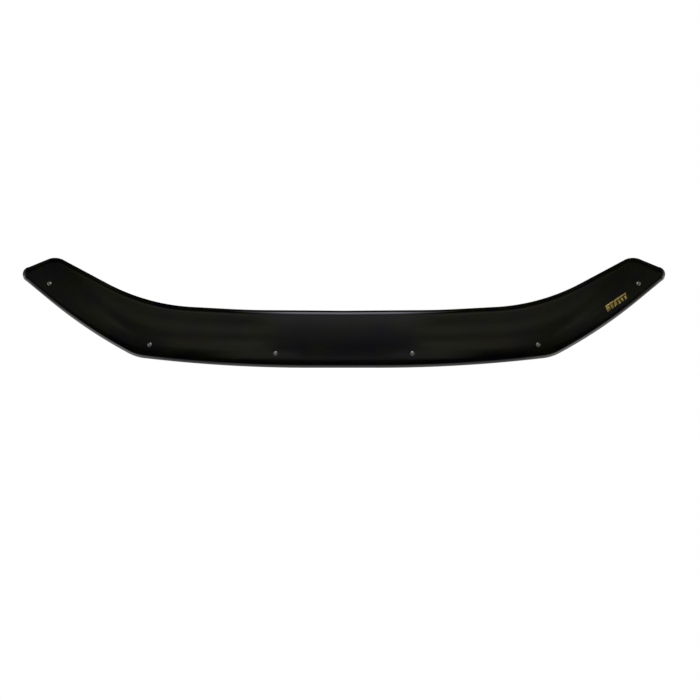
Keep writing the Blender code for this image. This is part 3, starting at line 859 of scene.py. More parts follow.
# %% Stack and origin
SCREW_LENGTH = 0.016
CURVED_SEAT_GAP = 0.0004
SEAT_GAP = 0.0003
SPACER_THICKNESS = 0.004
CLIP_REACH = 0.025

clip_front = WALL + CURVED_SEAT_GAP + SPACER_THICKNESS + SEAT_GAP
mouth_middle = (SCREW_LENGTH - CURVED_SEAT_GAP + clip_front + CLIP_REACH) / 2
grip = fixing_frames[len(right)] @ Vector((0, mouth_middle, 0))
to_origin = Matrix.Translation((0, -grip.y, -grip.z))
fixing_frames = [to_origin @ matrix for matrix in fixing_frames]
print("first fixing at", [round(v, 4) for v in fixing_frames[0].translation])

# %% [markdown]
# ## Turned shapes
#
# Screws, nuts and washers come off a lathe, so they are spun here from a half section that lies
# beside the axis. A section that touches the axis closes by itself. Any other is closed by one
# more edge, which makes a ring.

# %% Turned shapes
ROUND_SIDES = 48


def mesh_from(name, bm):
    """The bmesh as a mesh with its faces turned outward."""
    bmesh.ops.recalc_face_normals(bm, faces=bm.faces)
    return mesh_of(name, bm)


def turned_piece(profile):
    """A piece turned about local Y from a profile of (radius, y) points."""
    bm = bmesh.new()
    verts = [bm.verts.new((radius, y, 0)) for radius, y in profile]
    edges = [bm.edges.new(pair) for pair in zip(verts, verts[1:])]
    if profile[0][0] and profile[-1][0]:
        edges.append(bm.edges.new((verts[-1], verts[0])))
    bmesh.ops.spin(
        bm,
        geom=verts + edges,
        axis=(0, 1, 0),
        cent=(0, 0, 0),
        angle=math.tau,
        steps=ROUND_SIDES,
        use_merge=True,
    )
    bmesh.ops.remove_doubles(bm, verts=bm.verts, dist=MERGE_DISTANCE / 10)
    return bm


print("round pieces have", ROUND_SIDES, "sides")

# %% [markdown]
# ## Drills and cuts
#
# Holes and recesses are cut, as they are on the real pieces. A drill is a long cone with two
# equal ends, which lies along Y like everything else. The cuts are Boolean modifiers, and they
# are applied at once, so that the mesh is what it looks like.


# %% Drills and cuts
def prism(sides, radius, start, end):
    """A prism or cylinder along local Y, from start to end."""
    bm = bmesh.new()
    lie = Matrix.Translation((0, (start + end) / 2, 0)) @ Matrix.Rotation(-math.pi / 2, 4, "X")
    bmesh.ops.create_cone(
        bm,
        cap_ends=True,
        segments=sides,
        radius1=radius,
        radius2=radius,
        depth=end - start,
        matrix=lie,
    )
    return bm


def worked(mesh, steps):
    """The mesh after (operation, tool) Booleans, where each tool is a bmesh."""
    tools = []
    modifiers = []
    for operation, tool in steps:
        other = put_in_scene("tool", mesh_from("tool", tool))
        modifiers.append(("BOOLEAN", {"operation": operation, "object": other}))
        tools.append(other)
    made = with_modifiers(mesh, modifiers)
    for other in tools:
        bpy.data.objects.remove(other)
    return made


sample = prism(6, 1, 0, 1)
print("a hexagon bar has", len(sample.faces), "faces")
sample.free()

# %% [markdown]
# ## Setting a finished piece in place
#
# A finished piece gets its place in its mesh, so that its object stays at the origin and its
# pattern can't slide. It rides on the body and takes the place of its plain solid. What is held
# by the six screws is made once and set in place six times.

# %% Finished pieces
SHARP_ANGLE = math.radians(35)


def smooth(mesh):
    """Smooth shading, with the real corners kept sharp."""
    mesh.shade_smooth()
    mesh.set_sharp_from_angle(angle=SHARP_ANGLE)
    return mesh


def finished(name, mesh, finish, node, matrix=None):
    """The finished piece: in its place, on the body, standing for its solid."""
    if matrix:
        mesh = mesh.copy()
        mesh.transform(matrix)
    mesh.name = name
    piece = put_in_scene(name, mesh)
    if not mesh.materials:
        mesh.materials.append(finish)
    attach(piece, "root")
    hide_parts(node)
    return piece


def place_six(name, mesh, finish, node, turned=Matrix()):
    """Sets a copy of the piece at each of the six screws, numbered from the left."""
    for number, matrix in enumerate(fixing_frames, 1):
        finished(f"{name}_{number}", mesh, finish, f"{node}_{number}", matrix @ turned)
    print(f"{name}: {len(mesh.polygons)} faces each")


print("corners over", round(math.degrees(SHARP_ANGLE)), "degrees stay sharp")

# %% [markdown]
# ## Black acrylic
#
# Cast acrylic, dyed through in black. Its surface is as smooth as glass, with an index of
# refraction of 1.49, so it shows the room at four parts in a hundred and almost nothing of its
# own. Drawing it over a mould leaves very shallow waves, several centimetres long, which make
# reflections swim a little; they are longer along the band, the way the sheet was drawn.
# Handling leaves a faint uneven haze, seen as roughness, and the dye gives the black a cast that
# wanders between warm and cold.

# %% Acrylic
WAVE_LENGTH = 0.055
WAVE_HEIGHT = 0.00012
DRAWN_OUT = 0.35
HAZE_LENGTH = 0.020
HAZE_ROUGHNESS = {"To Min": 0.04, "To Max": 0.09}
CAST_LENGTH = 0.045
CAST_SPAN = {"From Min": 0.38, "From Max": 0.62}
NOISE_SPAN = {"From Min": 0.3, "From Max": 0.7}

acrylic, tree, shader = new_material("thermoformed_black_acrylic", "030303", 0.05, ior=1.49)
place = add(tree, "ShaderNodeTexCoord").outputs["Object"]
drawn = add(tree, "ShaderNodeMapping", {"Vector": place, "Scale": (DRAWN_OUT, 1, 1)})
waves = add(
    tree,
    "ShaderNodeTexNoise",
    {"Vector": drawn.outputs[0], "Scale": 1 / WAVE_LENGTH, "Detail": 1.5, "Roughness": 0.4},
)
swim = add(
    tree, "ShaderNodeBump", {"Height": waves.outputs[0], "Distance": WAVE_HEIGHT, "Strength": 1.0}
)
haze = add(
    tree,
    "ShaderNodeTexNoise",
    {"Vector": drawn.outputs[0], "Scale": 1 / HAZE_LENGTH, "Detail": 5.0},
)
uneven = add(
    tree, "ShaderNodeMapRange", {"Value": haze.outputs[0], **NOISE_SPAN, **HAZE_ROUGHNESS}
)
cast = add(
    tree, "ShaderNodeTexNoise", {"Vector": place, "Scale": 1 / CAST_LENGTH, "Detail": 1.0}
)
spread_cast = add(tree, "ShaderNodeMapRange", {"Value": cast.outputs[0], **CAST_SPAN})
dyed = add(
    tree,
    "ShaderNodeMix",
    {0: spread_cast.outputs[0], 6: linear("050501"), 7: linear("020205")},
    data_type="RGBA",
)
tree.links.new(dyed.outputs[2], shader.inputs["Base Color"])
tree.links.new(swim.outputs[0], shader.inputs["Normal"])
tree.links.new(uneven.outputs[0], shader.inputs["Roughness"])
print("acrylic waves", WAVE_LENGTH * 1000, "mm long and", WAVE_HEIGHT * 1000, "mm high")

# %% [markdown]
# ## Drilling the sheet
#
# The holes are drilled after the sheet is drawn, square to its face, and a little wider than the
# screws, so that the sheet can move as it warms. One mesh holds all six drills, because one
# Boolean is quicker and safer than six.

# %% Drilled sheet
HOLE_DIAMETER = 0.0058

walled.transform(to_origin)
drill = bmesh.new()
for matrix in fixing_frames:
    hole = mesh_from("hole", prism(ROUND_SIDES, HOLE_DIAMETER / 2, -2 * WALL, 3 * WALL))
    hole.transform(matrix)
    drill.from_mesh(hole)
sheet = worked(walled, [("DIFFERENCE", drill)])
finished("acrylic_shield", smooth(sheet), acrylic, "shield")
print("drilled sheet:", len(sheet.polygons), "faces")

# %% [markdown]
# ## Zinc-plated steel
#
# Screws and nuts like these are steel with a bright zinc plating a few thousandths of a
# millimetre thick. Zinc is a pale grey, which its clear passivation turns slightly warm. Barrel
# plating leaves it satin and a little uneven, so the roughness and the colour both wander over
# about a millimetre.

# %% Zinc
ZINC_MOTTLE = 0.0012
ZINC_ROUGHNESS = {"To Min": 0.24, "To Max": 0.38}

zinc, tree, shader = new_material("zinc_plated_steel", "DEDCD6", 0.30, metallic=1.0)
place = add(tree, "ShaderNodeTexCoord").outputs["Object"]
mottle = add(
    tree, "ShaderNodeTexNoise", {"Vector": place, "Scale": 1 / ZINC_MOTTLE, "Detail": 3.0}
)
satin = add(
    tree, "ShaderNodeMapRange", {"Value": mottle.outputs[0], **NOISE_SPAN, **ZINC_ROUGHNESS}
)
plated = add(
    tree,
    "ShaderNodeMix",
    {0: mottle.outputs[0], 6: linear("D4D3CE"), 7: linear("EAE6DC")},
    data_type="RGBA",
)
tree.links.new(satin.outputs[0], shader.inputs["Roughness"])
tree.links.new(plated.outputs[2], shader.inputs["Base Color"])
print("zinc mottle", ZINC_MOTTLE * 1000, "mm")

# %% [markdown]
# ## Screw threads
#
# The screws are M5, so a turn of the thread rises by 0.8 millimetres. A thread can be made by
# screwing a small V profile round the axis, but its ends stay open. Here the shank is turned
# with eight rings to a turn, and each point is then moved in or out by where it stands on the
# helix. The mesh stays closed, and the thread runs out softly at both ends.

# %% Thread
THREAD_RISE = 0.0008
THREAD_DEPTH = 0.00045
RINGS_PER_TURN = 8
RUN_OUT = 0.0008
SHANK_RADIUS = 0.0025
SHANK_BAND = 0.02


def shank_rings(start, end):
    """Profile points of a plain shank between two places along Y."""
    rings = round((end - start) / THREAD_RISE * RINGS_PER_TURN)
    return [(SHANK_RADIUS, start + (end - start) * i / rings) for i in range(rings + 1)]


def wind_thread(mesh, start, end):
    """Cuts the thread into the shank's rings between two places along Y."""
    inner, outer = SHANK_RADIUS * (1 - SHANK_BAND), SHANK_RADIUS * (1 + SHANK_BAND)
    for vertex in mesh.vertices:
        x, y, z = vertex.co
        radius = math.hypot(x, z)
        if not start <= y <= end or not inner < radius < outer:
            continue
        lead = min(1.0, (y - start) / RUN_OUT, (end - y) / RUN_OUT)
        wave = 0.5 - 0.5 * math.cos(math.tau * y / THREAD_RISE - math.atan2(z, x))
        shrink = 1 - THREAD_DEPTH / SHANK_RADIUS * wave * lead
        vertex.co = (x * shrink, y, z * shrink)


print("thread of", round(THREAD_RISE * 1000, 2), "mm to the turn")

# %% [markdown]
# ## Pan-head screws
#
# Six M5 pan-head screws hold everything on. Their cross recess is punched with a tapered tool.
# A cross could be extruded and scaled, but two tapered bars, cut out one after the other, give
# its four wings their sloping ends with less work.

# %% Cross recess
HEAD_HEIGHT = 0.0036
RECESS_DEPTH = 0.0019
RECESS_LENGTH_TOP = 0.0052
RECESS_LENGTH_BOTTOM = 0.0024
RECESS_SLOT_TOP = 0.0013
RECESS_SLOT_BOTTOM = 0.0008

seat = -CURVED_SEAT_GAP
crown = seat - HEAD_HEIGHT


def recess_bar(turned):
    """One tapered bar of the cross recess, twice as tall as the recess is deep."""
    bm = bmesh.new()
    bmesh.ops.create_cube(bm, size=2)
    for vertex in bm.verts:
        bottom_share = (vertex.co.y + 1) / 2
        above = 2 * bottom_share - 1
        length = RECESS_LENGTH_TOP + (RECESS_LENGTH_BOTTOM - RECESS_LENGTH_TOP) * above
        slot = RECESS_SLOT_TOP + (RECESS_SLOT_BOTTOM - RECESS_SLOT_TOP) * above
        vertex.co = (
            vertex.co.x * length / 2,
            crown + RECESS_DEPTH * vertex.co.y,
            vertex.co.z * slot / 2,
        )
    bmesh.ops.rotate(bm, verts=bm.verts, cent=(0, 0, 0), matrix=Matrix.Rotation(turned, 3, "Y"))
    return bm


print("cross recess", RECESS_LENGTH_TOP * 1000, "mm wide and", RECESS_DEPTH * 1000, "mm deep")

# %% [markdown]
# ## Turning the screws
#
# A real head is upset from wire under a die, which leaves a low dome with a small round below it.
# The whole screw is turned here from one section, then the recess is cut and the thread is wound
# from where the sheet ends to just before the point.

# %% Screws
HEAD_RADIUS = 0.00475
DOME_HEIGHT = 0.0020
DOME_STEPS = 16
UNDER_HEAD_ROUND = 0.0002
SCREW_POINT = 0.0006

screw_end = seat + SCREW_LENGTH
profile = [(0.0, crown)]
for i in range(1, DOME_STEPS + 1):
    angle = math.pi / 2 * i / DOME_STEPS
    profile.append((HEAD_RADIUS * math.sin(angle), crown + DOME_HEIGHT * (1 - math.cos(angle))))
profile += [(HEAD_RADIUS, seat - UNDER_HEAD_ROUND), (HEAD_RADIUS - UNDER_HEAD_ROUND, seat)]
profile += shank_rings(seat, screw_end - SCREW_POINT)
profile += [(SHANK_RADIUS - SCREW_POINT, screw_end), (0.0, screw_end)]
screw = worked(
    mesh_from("screw", turned_piece(profile)),
    [("DIFFERENCE", recess_bar(0.0)), ("DIFFERENCE", recess_bar(math.pi / 2))],
)
wind_thread(screw, seat + WALL, screw_end - SCREW_POINT / 2)
smooth(screw)
place_six("pan_head_screw", screw, zinc, "screw")

# %% [markdown]
# ## Rubber
#
# The spacers and the pads are EPDM rubber, the black, weatherproof kind that car seals are made
# of. Moulded, it is matt with a fine grain, and it greys a little in patches as it ages.

# %% EPDM rubber
RUBBER_GRAIN = 0.0004
RUBBER_GRAIN_HEIGHT = 0.00002
RUBBER_BLOOM = 0.006

rubber, tree, shader = new_material("epdm_rubber", "141414", 0.85)
place = add(tree, "ShaderNodeTexCoord").outputs["Object"]
grain = add(
    tree, "ShaderNodeTexNoise", {"Vector": place, "Scale": 1 / RUBBER_GRAIN, "Detail": 3.0}
)
rough_skin = add(
    tree,
    "ShaderNodeBump",
    {"Height": grain.outputs[0], "Distance": RUBBER_GRAIN_HEIGHT, "Strength": 0.8},
)
patches = add(
    tree, "ShaderNodeTexNoise", {"Vector": place, "Scale": 1 / RUBBER_BLOOM, "Detail": 4.0}
)
aged = add(
    tree,
    "ShaderNodeMix",
    {0: patches.outputs[0], 6: linear("101010"), 7: linear("232322")},
    data_type="RGBA",
)
tree.links.new(rough_skin.outputs[0], shader.inputs["Normal"])
tree.links.new(aged.outputs[2], shader.inputs["Base Color"])
print("rubber grain", RUBBER_GRAIN * 1000, "mm")

# %% [markdown]
# ## Spacers
#
# A rubber washer at each screw keeps the steel off the acrylic and lets the sheet move with the
# heat. It is a turned ring. Squeezed by the screw, its outer wall bulges slightly. One point more
# on the profile, a little farther out and halfway up, gives the bulge, and smooth shading rounds
# it.

# %% Spacers
SPACER_RADIUS = 0.007
SPACER_EDGE = 0.0008
SPACER_WAIST = 0.00015
EDGE_STEPS = 6

front = WALL + CURVED_SEAT_GAP
back = front + SPACER_THICKNESS
waist = SPACER_RADIUS - SPACER_WAIST
profile = [(HOLE_DIAMETER / 2, front)]
for i in range(EDGE_STEPS + 1):
    angle = math.pi / 2 * i / EDGE_STEPS
    profile.append((
        waist - SPACER_EDGE * (1 - math.sin(angle)),
        front + SPACER_EDGE * (1 - math.cos(angle)),
    ))
profile.append((SPACER_RADIUS, (front + back) / 2))
profile += [(radius, front + back - y) for radius, y in profile[-2::-1]]
spacer = smooth(mesh_from("spacer", turned_piece(profile)))
place_six("rubber_spacer", spacer, rubber, "spacer")

# %% [markdown]
# ## Black coated steel
#
# The clips are pressed from steel strip and dipped in black electrocoat, which leaves an even,
# half-gloss skin with a very fine ripple, like the peel of an orange seen from far away.

# %% Electrocoat
PEEL_LENGTH = 0.0009
PEEL_HEIGHT = 0.000006
COAT_ROUGHNESS = {"To Min": 0.36, "To Max": 0.50}

coated, tree, shader = new_material("electrocoated_steel", "0C0C0D", 0.42)
place = add(tree, "ShaderNodeTexCoord").outputs["Object"]
peel = add(tree, "ShaderNodeTexNoise", {"Vector": place, "Scale": 1 / PEEL_LENGTH, "Detail": 2.0})
ripple = add(
    tree, "ShaderNodeBump", {"Height": peel.outputs[0], "Distance": PEEL_HEIGHT, "Strength": 1.0}
)
dulled = add(
    tree, "ShaderNodeMapRange", {"Value": peel.outputs[0], **NOISE_SPAN, **COAT_ROUGHNESS}
)
tree.links.new(ripple.outputs[0], shader.inputs["Normal"])
tree.links.new(dulled.outputs[0], shader.inputs["Roughness"])
print("coat ripple", PEEL_LENGTH * 1000, "mm")

# %% [markdown]
# ## The hood clips
#
# Each clip is a strip of 1.5 millimetre steel folded into a C. Its course is three straight
# walls, so a row of edges is extruded across the strip, the two bends are bevelled round, the
# corners of the ends are clipped round, and the surface is given its thickness. A press leaves
# the edges slightly broken, which a last small bevel stands for. Then the two holes are cut.

# %% Clips
CLIP_SHEET = 0.0015
CLIP_WIDTH = 0.018
CLIP_HEIGHT = 0.022
CLIP_BEND_RADIUS = 0.003
CLIP_CORNER_RADIUS = 0.002
CLIP_EDGE = 0.0002
CLIP_EDGE_STEPS = 2
CLAMP_SETBACK = 0.008
BEND_STEPS = 10
CORNER_STEPS = 6
TAPPED_RADIUS = 0.00255

clamp_back = clip_front + CLIP_REACH - CLAMP_SETBACK
half_height = CLIP_HEIGHT / 2
bm = bmesh.new()
verts = []
for back, up in ((CLIP_REACH, 1), (0, 1), (0, -1), (CLIP_REACH, -1)):
    verts.append(bm.verts.new((-CLIP_WIDTH / 2, clip_front + back, up * half_height)))
edges = [bm.edges.new(pair) for pair in zip(verts, verts[1:])]
grown = bmesh.ops.extrude_edge_only(bm, edges=edges)["geom"]
moved = [item for item in grown if isinstance(item, bmesh.types.BMVert)]
bmesh.ops.translate(bm, verts=moved, vec=(CLIP_WIDTH, 0, 0))
bends = [edge for edge in bm.edges if len(edge.link_faces) == 2]
rounded(bm, bends, CLIP_BEND_RADIUS, BEND_STEPS)
corners = [vertex for vertex in bm.verts if len(vertex.link_edges) == 2]
rounded(bm, corners, CLIP_CORNER_RADIUS, CORNER_STEPS, "VERTICES")
bmesh.ops.recalc_face_normals(bm, faces=bm.faces)
web = max(bm.faces, key=lambda face: abs(face.normal.y) * face.calc_area())
if web.normal.y > 0:
    bmesh.ops.reverse_faces(bm, faces=bm.faces)
bmesh.ops.solidify(bm, geom=bm.faces, thickness=CLIP_SHEET)
bmesh.ops.recalc_face_normals(bm, faces=bm.faces)
rounded(bm, square_edges(bm), CLIP_EDGE, CLIP_EDGE_STEPS)
clamp_hole = prism(ROUND_SIDES, TAPPED_RADIUS, -2 * CLIP_SHEET, 2 * CLIP_SHEET)
jaw = Matrix.Translation((0, clamp_back, -half_height)) @ Matrix.Rotation(math.pi / 2, 4, "X")
bmesh.ops.transform(clamp_hole, verts=clamp_hole.verts, matrix=jaw)
drill_end = clip_front + 2 * CLIP_SHEET
web_hole = prism(ROUND_SIDES, HOLE_DIAMETER / 2, clip_front - CLIP_SHEET, drill_end)
clip = worked(mesh_from("clip", bm), [("DIFFERENCE", web_hole), ("DIFFERENCE", clamp_hole)])
smooth(clip)
place_six("steel_clip", clip, coated, "hood_clip")

# %% [markdown]
# ## Hexagon bar
#
# Lock nuts and clamp screws are both cut from hexagon bar. Before it is cut off, the bar's end is
# turned down at a slant, which leaves the curved chamfer on each corner. A hexagon and a turned
# barrel, intersected, give exactly that.

# %% Hexagons
CHAMFER_SLOPE = math.radians(30)
CHAMFER_START = 0.94
OVERRUN = 0.001


def hexagon(name, flats, start, end, extras):
    """A chamfered hexagon along local Y, after further (operation, tool) steps."""
    corner = flats / 2 / math.cos(math.pi / 6)
    inner = flats / 2 * CHAMFER_START
    drop = (corner - inner) * math.tan(CHAMFER_SLOPE)
    barrel = [(0.0, start), (inner, start), (corner, start + drop), (corner, end - drop)]
    barrel += [(inner, end), (0.0, end)]
    bar = prism(6, corner, start - OVERRUN, end + OVERRUN)
    return worked(mesh_from(name, bar), [("INTERSECT", turned_piece(barrel)), *extras])


print("chamfers slope by", round(math.degrees(CHAMFER_SLOPE)), "degrees")

# %% [markdown]
# ## Nylon
#
# The ring in a lock nut is natural nylon: milky white, slightly yellow and half matt. It lets
# some light in, which shows only as a soft cloudiness at this size, so a faint change of colour
# stands for it.

# %% Nylon
NYLON_CLOUD = 0.002

nylon, tree, shader = new_material("white_nylon", "E8E6DC", 0.45)
place = add(tree, "ShaderNodeTexCoord").outputs["Object"]
cloud = add(tree, "ShaderNodeTexNoise", {"Vector": place, "Scale": 1 / NYLON_CLOUD, "Detail": 2.0})
milky = add(
    tree,
    "ShaderNodeMix",
    {0: cloud.outputs[0], 6: linear("E2DFD2"), 7: linear("EFEDE6")},
    data_type="RGBA",
)
tree.links.new(milky.outputs[2], shader.inputs["Base Color"])
print("nylon cloud", NYLON_CLOUD * 1000, "mm")

# %% [markdown]
# ## Lock nuts
#
# Behind the hexagon a lock nut has a round collar, rolled in over a ring of nylon that grips the
# thread. Hexagon and collar are joined, bored, and cut out for the ring. The ring is turned on
# its own and put in with a second material, so the nut stays one piece.

# %% Lock nuts
NUT_FLATS = 0.008
NUT_HEIGHT = 0.0035
COLLAR_HEIGHT = 0.0015
COLLAR_RADIUS = 0.0038
COLLAR_SHOULDER = 0.0007
RING_OUTSIDE = 0.00305
RING_DEPTH = 0.0012
RING_RECESS = 0.00015
NUT_BORE = 0.00252

nut_front = clip_front + CLIP_SHEET + SEAT_GAP
nut_back = nut_front + NUT_HEIGHT
collar_end = nut_back + COLLAR_HEIGHT
collar = [(0.0, nut_front + NUT_HEIGHT / 2), (COLLAR_RADIUS, nut_front + NUT_HEIGHT / 2)]
for i in range(EDGE_STEPS + 1):
    angle = math.pi / 2 * i / EDGE_STEPS
    collar.append((
        COLLAR_RADIUS - COLLAR_SHOULDER * (1 - math.cos(angle)),
        collar_end - COLLAR_SHOULDER * (1 - math.sin(angle)),
    ))
collar.append((0.0, collar_end))
drill_end = collar_end + OVERRUN
steps = [
    ("UNION", turned_piece(collar)),
    ("DIFFERENCE", prism(ROUND_SIDES, NUT_BORE, nut_front - OVERRUN, drill_end)),
    ("DIFFERENCE", prism(ROUND_SIDES, RING_OUTSIDE, collar_end - RING_DEPTH, drill_end)),
]
nut = hexagon("nut", NUT_FLATS, nut_front, nut_back, steps)
ring_end = collar_end - RING_RECESS
ring_start = collar_end - RING_DEPTH + MERGE_DISTANCE
grip_ring = turned_piece([
    (NUT_BORE, ring_start),
    (RING_OUTSIDE - MERGE_DISTANCE, ring_start),
    (RING_OUTSIDE - MERGE_DISTANCE, ring_end),
    (NUT_BORE, ring_end),
])
for face in grip_ring.faces:
    face.material_index = 1
bm = bmesh.new()
bm.from_mesh(nut)
bm.from_mesh(mesh_from("grip_ring", grip_ring))
nut_mesh = mesh_of("lock_nut", bm)
nut_mesh.materials.append(zinc)
nut_mesh.materials.append(nylon)
smooth(nut_mesh)
place_six("nylon_lock_nut", nut_mesh, zinc, "lock_nut")

# %% [markdown]
# ## Clamp screws
#
# A short hexagon screw comes up through the lower jaw and pinches the hood's lip. Its point is
# turned out to a cup, whose rim bites so that it can't work loose. It is made lying along Y like
# all the other pieces, and then turned upright into the jaw.

# %% Clamp screws
CLAMP_FLATS = 0.008
CLAMP_HEAD_HEIGHT = 0.0035
CLAMP_LENGTH = 0.0075
CUP_RADIUS = 0.0013
CUP_DEPTH = 0.0007

clamp_seat = -SEAT_GAP
shank = [(0.0, clamp_seat - CLAMP_HEAD_HEIGHT / 2)]
shank += shank_rings(clamp_seat - CLAMP_HEAD_HEIGHT / 2, CLAMP_LENGTH - SCREW_POINT)
shank += [
    (SHANK_RADIUS - SCREW_POINT, CLAMP_LENGTH),
    (CUP_RADIUS, CLAMP_LENGTH),
    (0.0, CLAMP_LENGTH - CUP_DEPTH),
]
steps = [("UNION", turned_piece(shank))]
clamp = hexagon("clamp", CLAMP_FLATS, clamp_seat - CLAMP_HEAD_HEIGHT, clamp_seat, steps)
wind_thread(clamp, clamp_seat + RUN_OUT / 2, CLAMP_LENGTH - SCREW_POINT / 2)
smooth(clamp)
place_six("cup_point_screw", clamp, zinc, "clamp_screw", jaw)

# %% [markdown]
# ## Clip pads
#
# A small rubber block is bonded under each clip's top jaw, so that the steel doesn't mark the
# paint of the hood. It is moulded, so all its edges are round.

# %% Clip pads
PAD_WIDTH = 0.015
PAD_LENGTH = 0.014
PAD_THICKNESS = 0.002
PAD_CORNER = 0.001
PAD_EDGE = 0.0003
PAD_EDGE_STEPS = 3

pad_size = Vector((PAD_WIDTH, PAD_LENGTH, PAD_THICKNESS))
pad_middle = Vector((
    0,
    clip_front + CLIP_REACH - PAD_CORNER - PAD_LENGTH / 2,
    half_height - CLIP_SHEET - SEAT_GAP - PAD_THICKNESS / 2,
))
bm = bmesh.new()
bmesh.ops.create_cube(bm, size=1)
bmesh.ops.scale(bm, verts=bm.verts, vec=pad_size)
bmesh.ops.translate(bm, verts=bm.verts, vec=pad_middle)
upright = [edge for edge in bm.edges if abs(edge.verts[0].co.z - edge.verts[1].co.z) > PAD_EDGE]
rounded(bm, upright, PAD_CORNER, CORNER_STEPS)
rounded(bm, square_edges(bm), PAD_EDGE, PAD_EDGE_STEPS)
pad = smooth(mesh_from("pad", bm))
place_six("jaw_pad", pad, rubber, "clip_pad")

# %% [markdown]
# ## The foil label
#
# The wing carries a small foil label, stuck on by hand a few degrees off the line of the edge.
# Its print is plain here: a gold line along the top and one end, and slanted gold bars below it.
# The foil is a grid laid on the face of the sheet and given its thickness. Its UV map is in
# metres, so that the print's sizes can be written as real ones.

# %% Foil
LABEL_SETBACK = 0.1225
LABEL_INSET = 0.0265
LABEL_LENGTH = 0.057
LABEL_HEIGHT = 0.0148
LABEL_THICKNESS = 0.0003
LABEL_TURN = math.radians(-4.0)
LABEL_COLUMNS = 48
LABEL_ROWS = 12

spot, slope = inset_from_bottom(tip_x - LABEL_SETBACK, LABEL_INSET)
slope += LABEL_TURN
along = Vector((math.cos(slope), math.sin(slope)))
up = Vector((-along.y, along.x))
bm = bmesh.new()
bmesh.ops.create_grid(
    bm, x_segments=LABEL_COLUMNS, y_segments=LABEL_ROWS, size=0.5, calc_uvs=True
)
uv_layer = bm.loops.layers.uv.verify()
for face in bm.faces:
    for loop in face.loops:
        across, high = loop.vert.co.x + 0.5, loop.vert.co.y + 0.5
        loop[uv_layer].uv = (across * LABEL_LENGTH, high * LABEL_HEIGHT)
for vertex in bm.verts:
    at = spot + along * vertex.co.x * LABEL_LENGTH + up * vertex.co.y * LABEL_HEIGHT
    vertex.co = on_face(at.x, at.y) + face_normal(at.x, at.y) * SEAT_GAP
for face in bm.faces:
    face.normal_update()
if sum(face.normal.y for face in bm.faces) > 0:
    bmesh.ops.reverse_faces(bm, faces=bm.faces)
thick = {"thickness": LABEL_THICKNESS, "offset": 1, "use_even_offset": True}
foil = with_modifiers(mesh_of("foil", bm), [("SOLIDIFY", thick)])
print("foil:", len(foil.polygons), "faces, UV in metres")

# %% [markdown]
# ## Wander and wear
#
# Small print like this is never quite even: its bars lean by different amounts, and the ink rubs
# off in spots. Two noises on the label's own UV map stand for that. A slow one will push the bars
# aside, and a quicker one will say where the ink is gone.

# %% Wander and wear
WANDER_LENGTH = 0.013
WEAR_LENGTH = 0.0042

printed, tree, shader = new_material("gold_ink_on_black_foil", "A08E4C", 0.4)
flat_place = add(tree, "ShaderNodeTexCoord").outputs["UV"]
axes = add(tree, "ShaderNodeSeparateXYZ", {0: flat_place})
wander = add(
    tree, "ShaderNodeTexNoise", {"Vector": flat_place, "Scale": 1 / WANDER_LENGTH, "Detail": 0.0}
)
wear = add(
    tree, "ShaderNodeTexNoise", {"Vector": flat_place, "Scale": 1 / WEAR_LENGTH, "Detail": 1.0}
)
print("wander over", WANDER_LENGTH * 1000, "mm, wear over", WEAR_LENGTH * 1000, "mm")

# %% [markdown]
# ## The print as masks
#
# The print could be drawn as thin pieces of its own, but ink has next to no thickness. So it is
# a mask on the UV coordinates: a line that follows two edges, and bars below it that lean, wander
# a little and are worn off in spots. Each step is a plain sum, so a table of sums makes them all.

# %% Print masks
MARGIN = 0.0004
LINE_WIDTH = 0.0030
GROOVE_WIDTH = 0.0008
BAR_FIELD_END = 0.0016
BAR_PITCH = 0.0088
BAR_SHARE = 0.60
BAR_SLANT = 0.25
BAR_WANDER = 0.0060
WORN_BELOW = 0.44
INK_METALLIC = 0.35

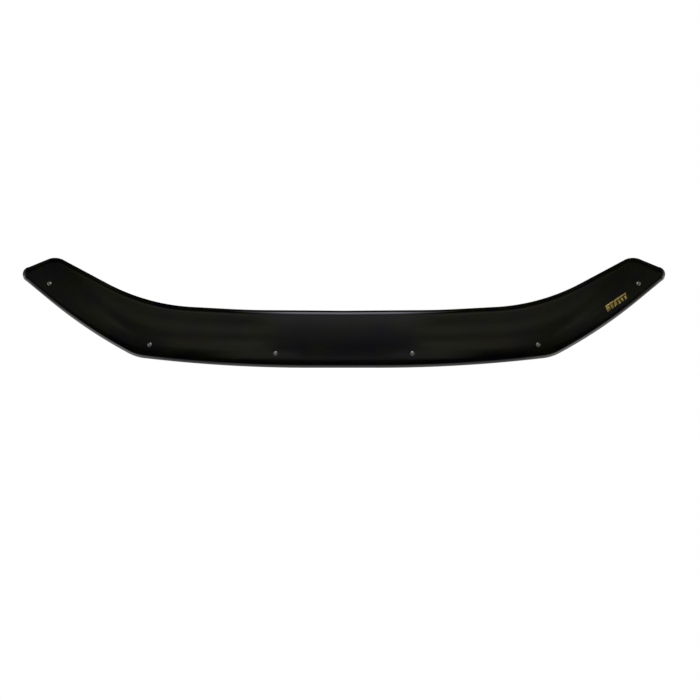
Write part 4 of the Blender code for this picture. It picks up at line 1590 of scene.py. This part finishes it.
sums = {
    "u": axes.outputs["X"],
    "v": axes.outputs["Y"],
    "wander": wander.outputs[0],
    "wear": wear.outputs[0],
}
for name, operation, *terms in (
    ("from_top", "SUBTRACT", LABEL_HEIGHT, "v"),
    ("lean", "MULTIPLY", "v", BAR_SLANT),
    ("from_end", "SUBTRACT", "u", "lean"),
    ("from_right", "SUBTRACT", LABEL_LENGTH - LABEL_HEIGHT * BAR_SLANT, "from_end"),
    ("from_corner", "MINIMUM", "from_end", "from_top"),
    ("from_other", "MINIMUM", "v", "from_right"),
    ("from_edge", "MINIMUM", "from_corner", "from_other"),
    ("inside", "GREATER_THAN", "from_edge", MARGIN),
    ("near_corner", "LESS_THAN", "from_corner", MARGIN + LINE_WIDTH),
    ("corner_line", "MULTIPLY", "near_corner", "inside"),
    ("past_groove", "GREATER_THAN", "from_corner", MARGIN + LINE_WIDTH + GROOVE_WIDTH),
    ("above_foot", "GREATER_THAN", "from_other", BAR_FIELD_END),
    ("field", "MULTIPLY", "past_groove", "above_foot"),
    ("shift", "MULTIPLY", "wander", BAR_WANDER),
    ("shifted", "ADD", "from_end", "shift"),
    ("wave", "PINGPONG", "shifted", BAR_PITCH / 2),
    ("bars", "LESS_THAN", "wave", BAR_PITCH * BAR_SHARE / 2),
    ("whole_ink", "GREATER_THAN", "wear", WORN_BELOW),
    ("worn_bars", "MULTIPLY", "bars", "whole_ink"),
    ("bars_in_field", "MULTIPLY", "worn_bars", "field"),
    ("ink", "MAXIMUM", "corner_line", "bars_in_field"),
    ("metal", "MULTIPLY", "ink", INK_METALLIC),
):
    inputs = {i: sums.get(term, term) for i, term in enumerate(terms)}
    sums[name] = add(tree, "ShaderNodeMath", inputs, operation=operation).outputs[0]
print("masks:", len(sums), "of them, the last one", name)

# %% [markdown]
# ## Gold ink on black foil
#
# Such labels are screen printed: a clear gold ink, with some metal powder in it, over a black and
# slightly glossy film. The powder lies unevenly, so the gold is patchy, and the ink stands a few
# hundredths of a millimetre proud, which a bump shows well enough.

# %% Gold ink
INK_HEIGHT = 0.00003
INK_SPECKLE = 0.0034
SPECKLE_SPAN = {"From Min": 0.38, "From Max": 0.70}

place = add(tree, "ShaderNodeTexCoord").outputs["Object"]
speckle = add(
    tree, "ShaderNodeTexNoise", {"Vector": place, "Scale": 1 / INK_SPECKLE, "Detail": 2.0}
)
patchy = add(tree, "ShaderNodeMapRange", {"Value": speckle.outputs[0], **SPECKLE_SPAN})
gold = add(
    tree,
    "ShaderNodeMix",
    {0: patchy.outputs[0], 6: linear("6C5A0C"), 7: linear("BEA864")},
    data_type="RGBA",
)
inked = add(
    tree,
    "ShaderNodeMix",
    {0: sums["ink"], 6: linear("181202"), 7: gold.outputs[2]},
    data_type="RGBA",
)
proud = add(
    tree, "ShaderNodeBump", {"Height": sums["ink"], "Distance": INK_HEIGHT, "Strength": 1.0}
)
tree.links.new(inked.outputs[2], shader.inputs["Base Color"])
tree.links.new(sums["metal"], shader.inputs["Metallic"])
tree.links.new(proud.outputs[0], shader.inputs["Normal"])
finished("printed_foil_label", foil, printed, "foil_label", to_origin)
print("label print made with", len(tree.nodes), "nodes")
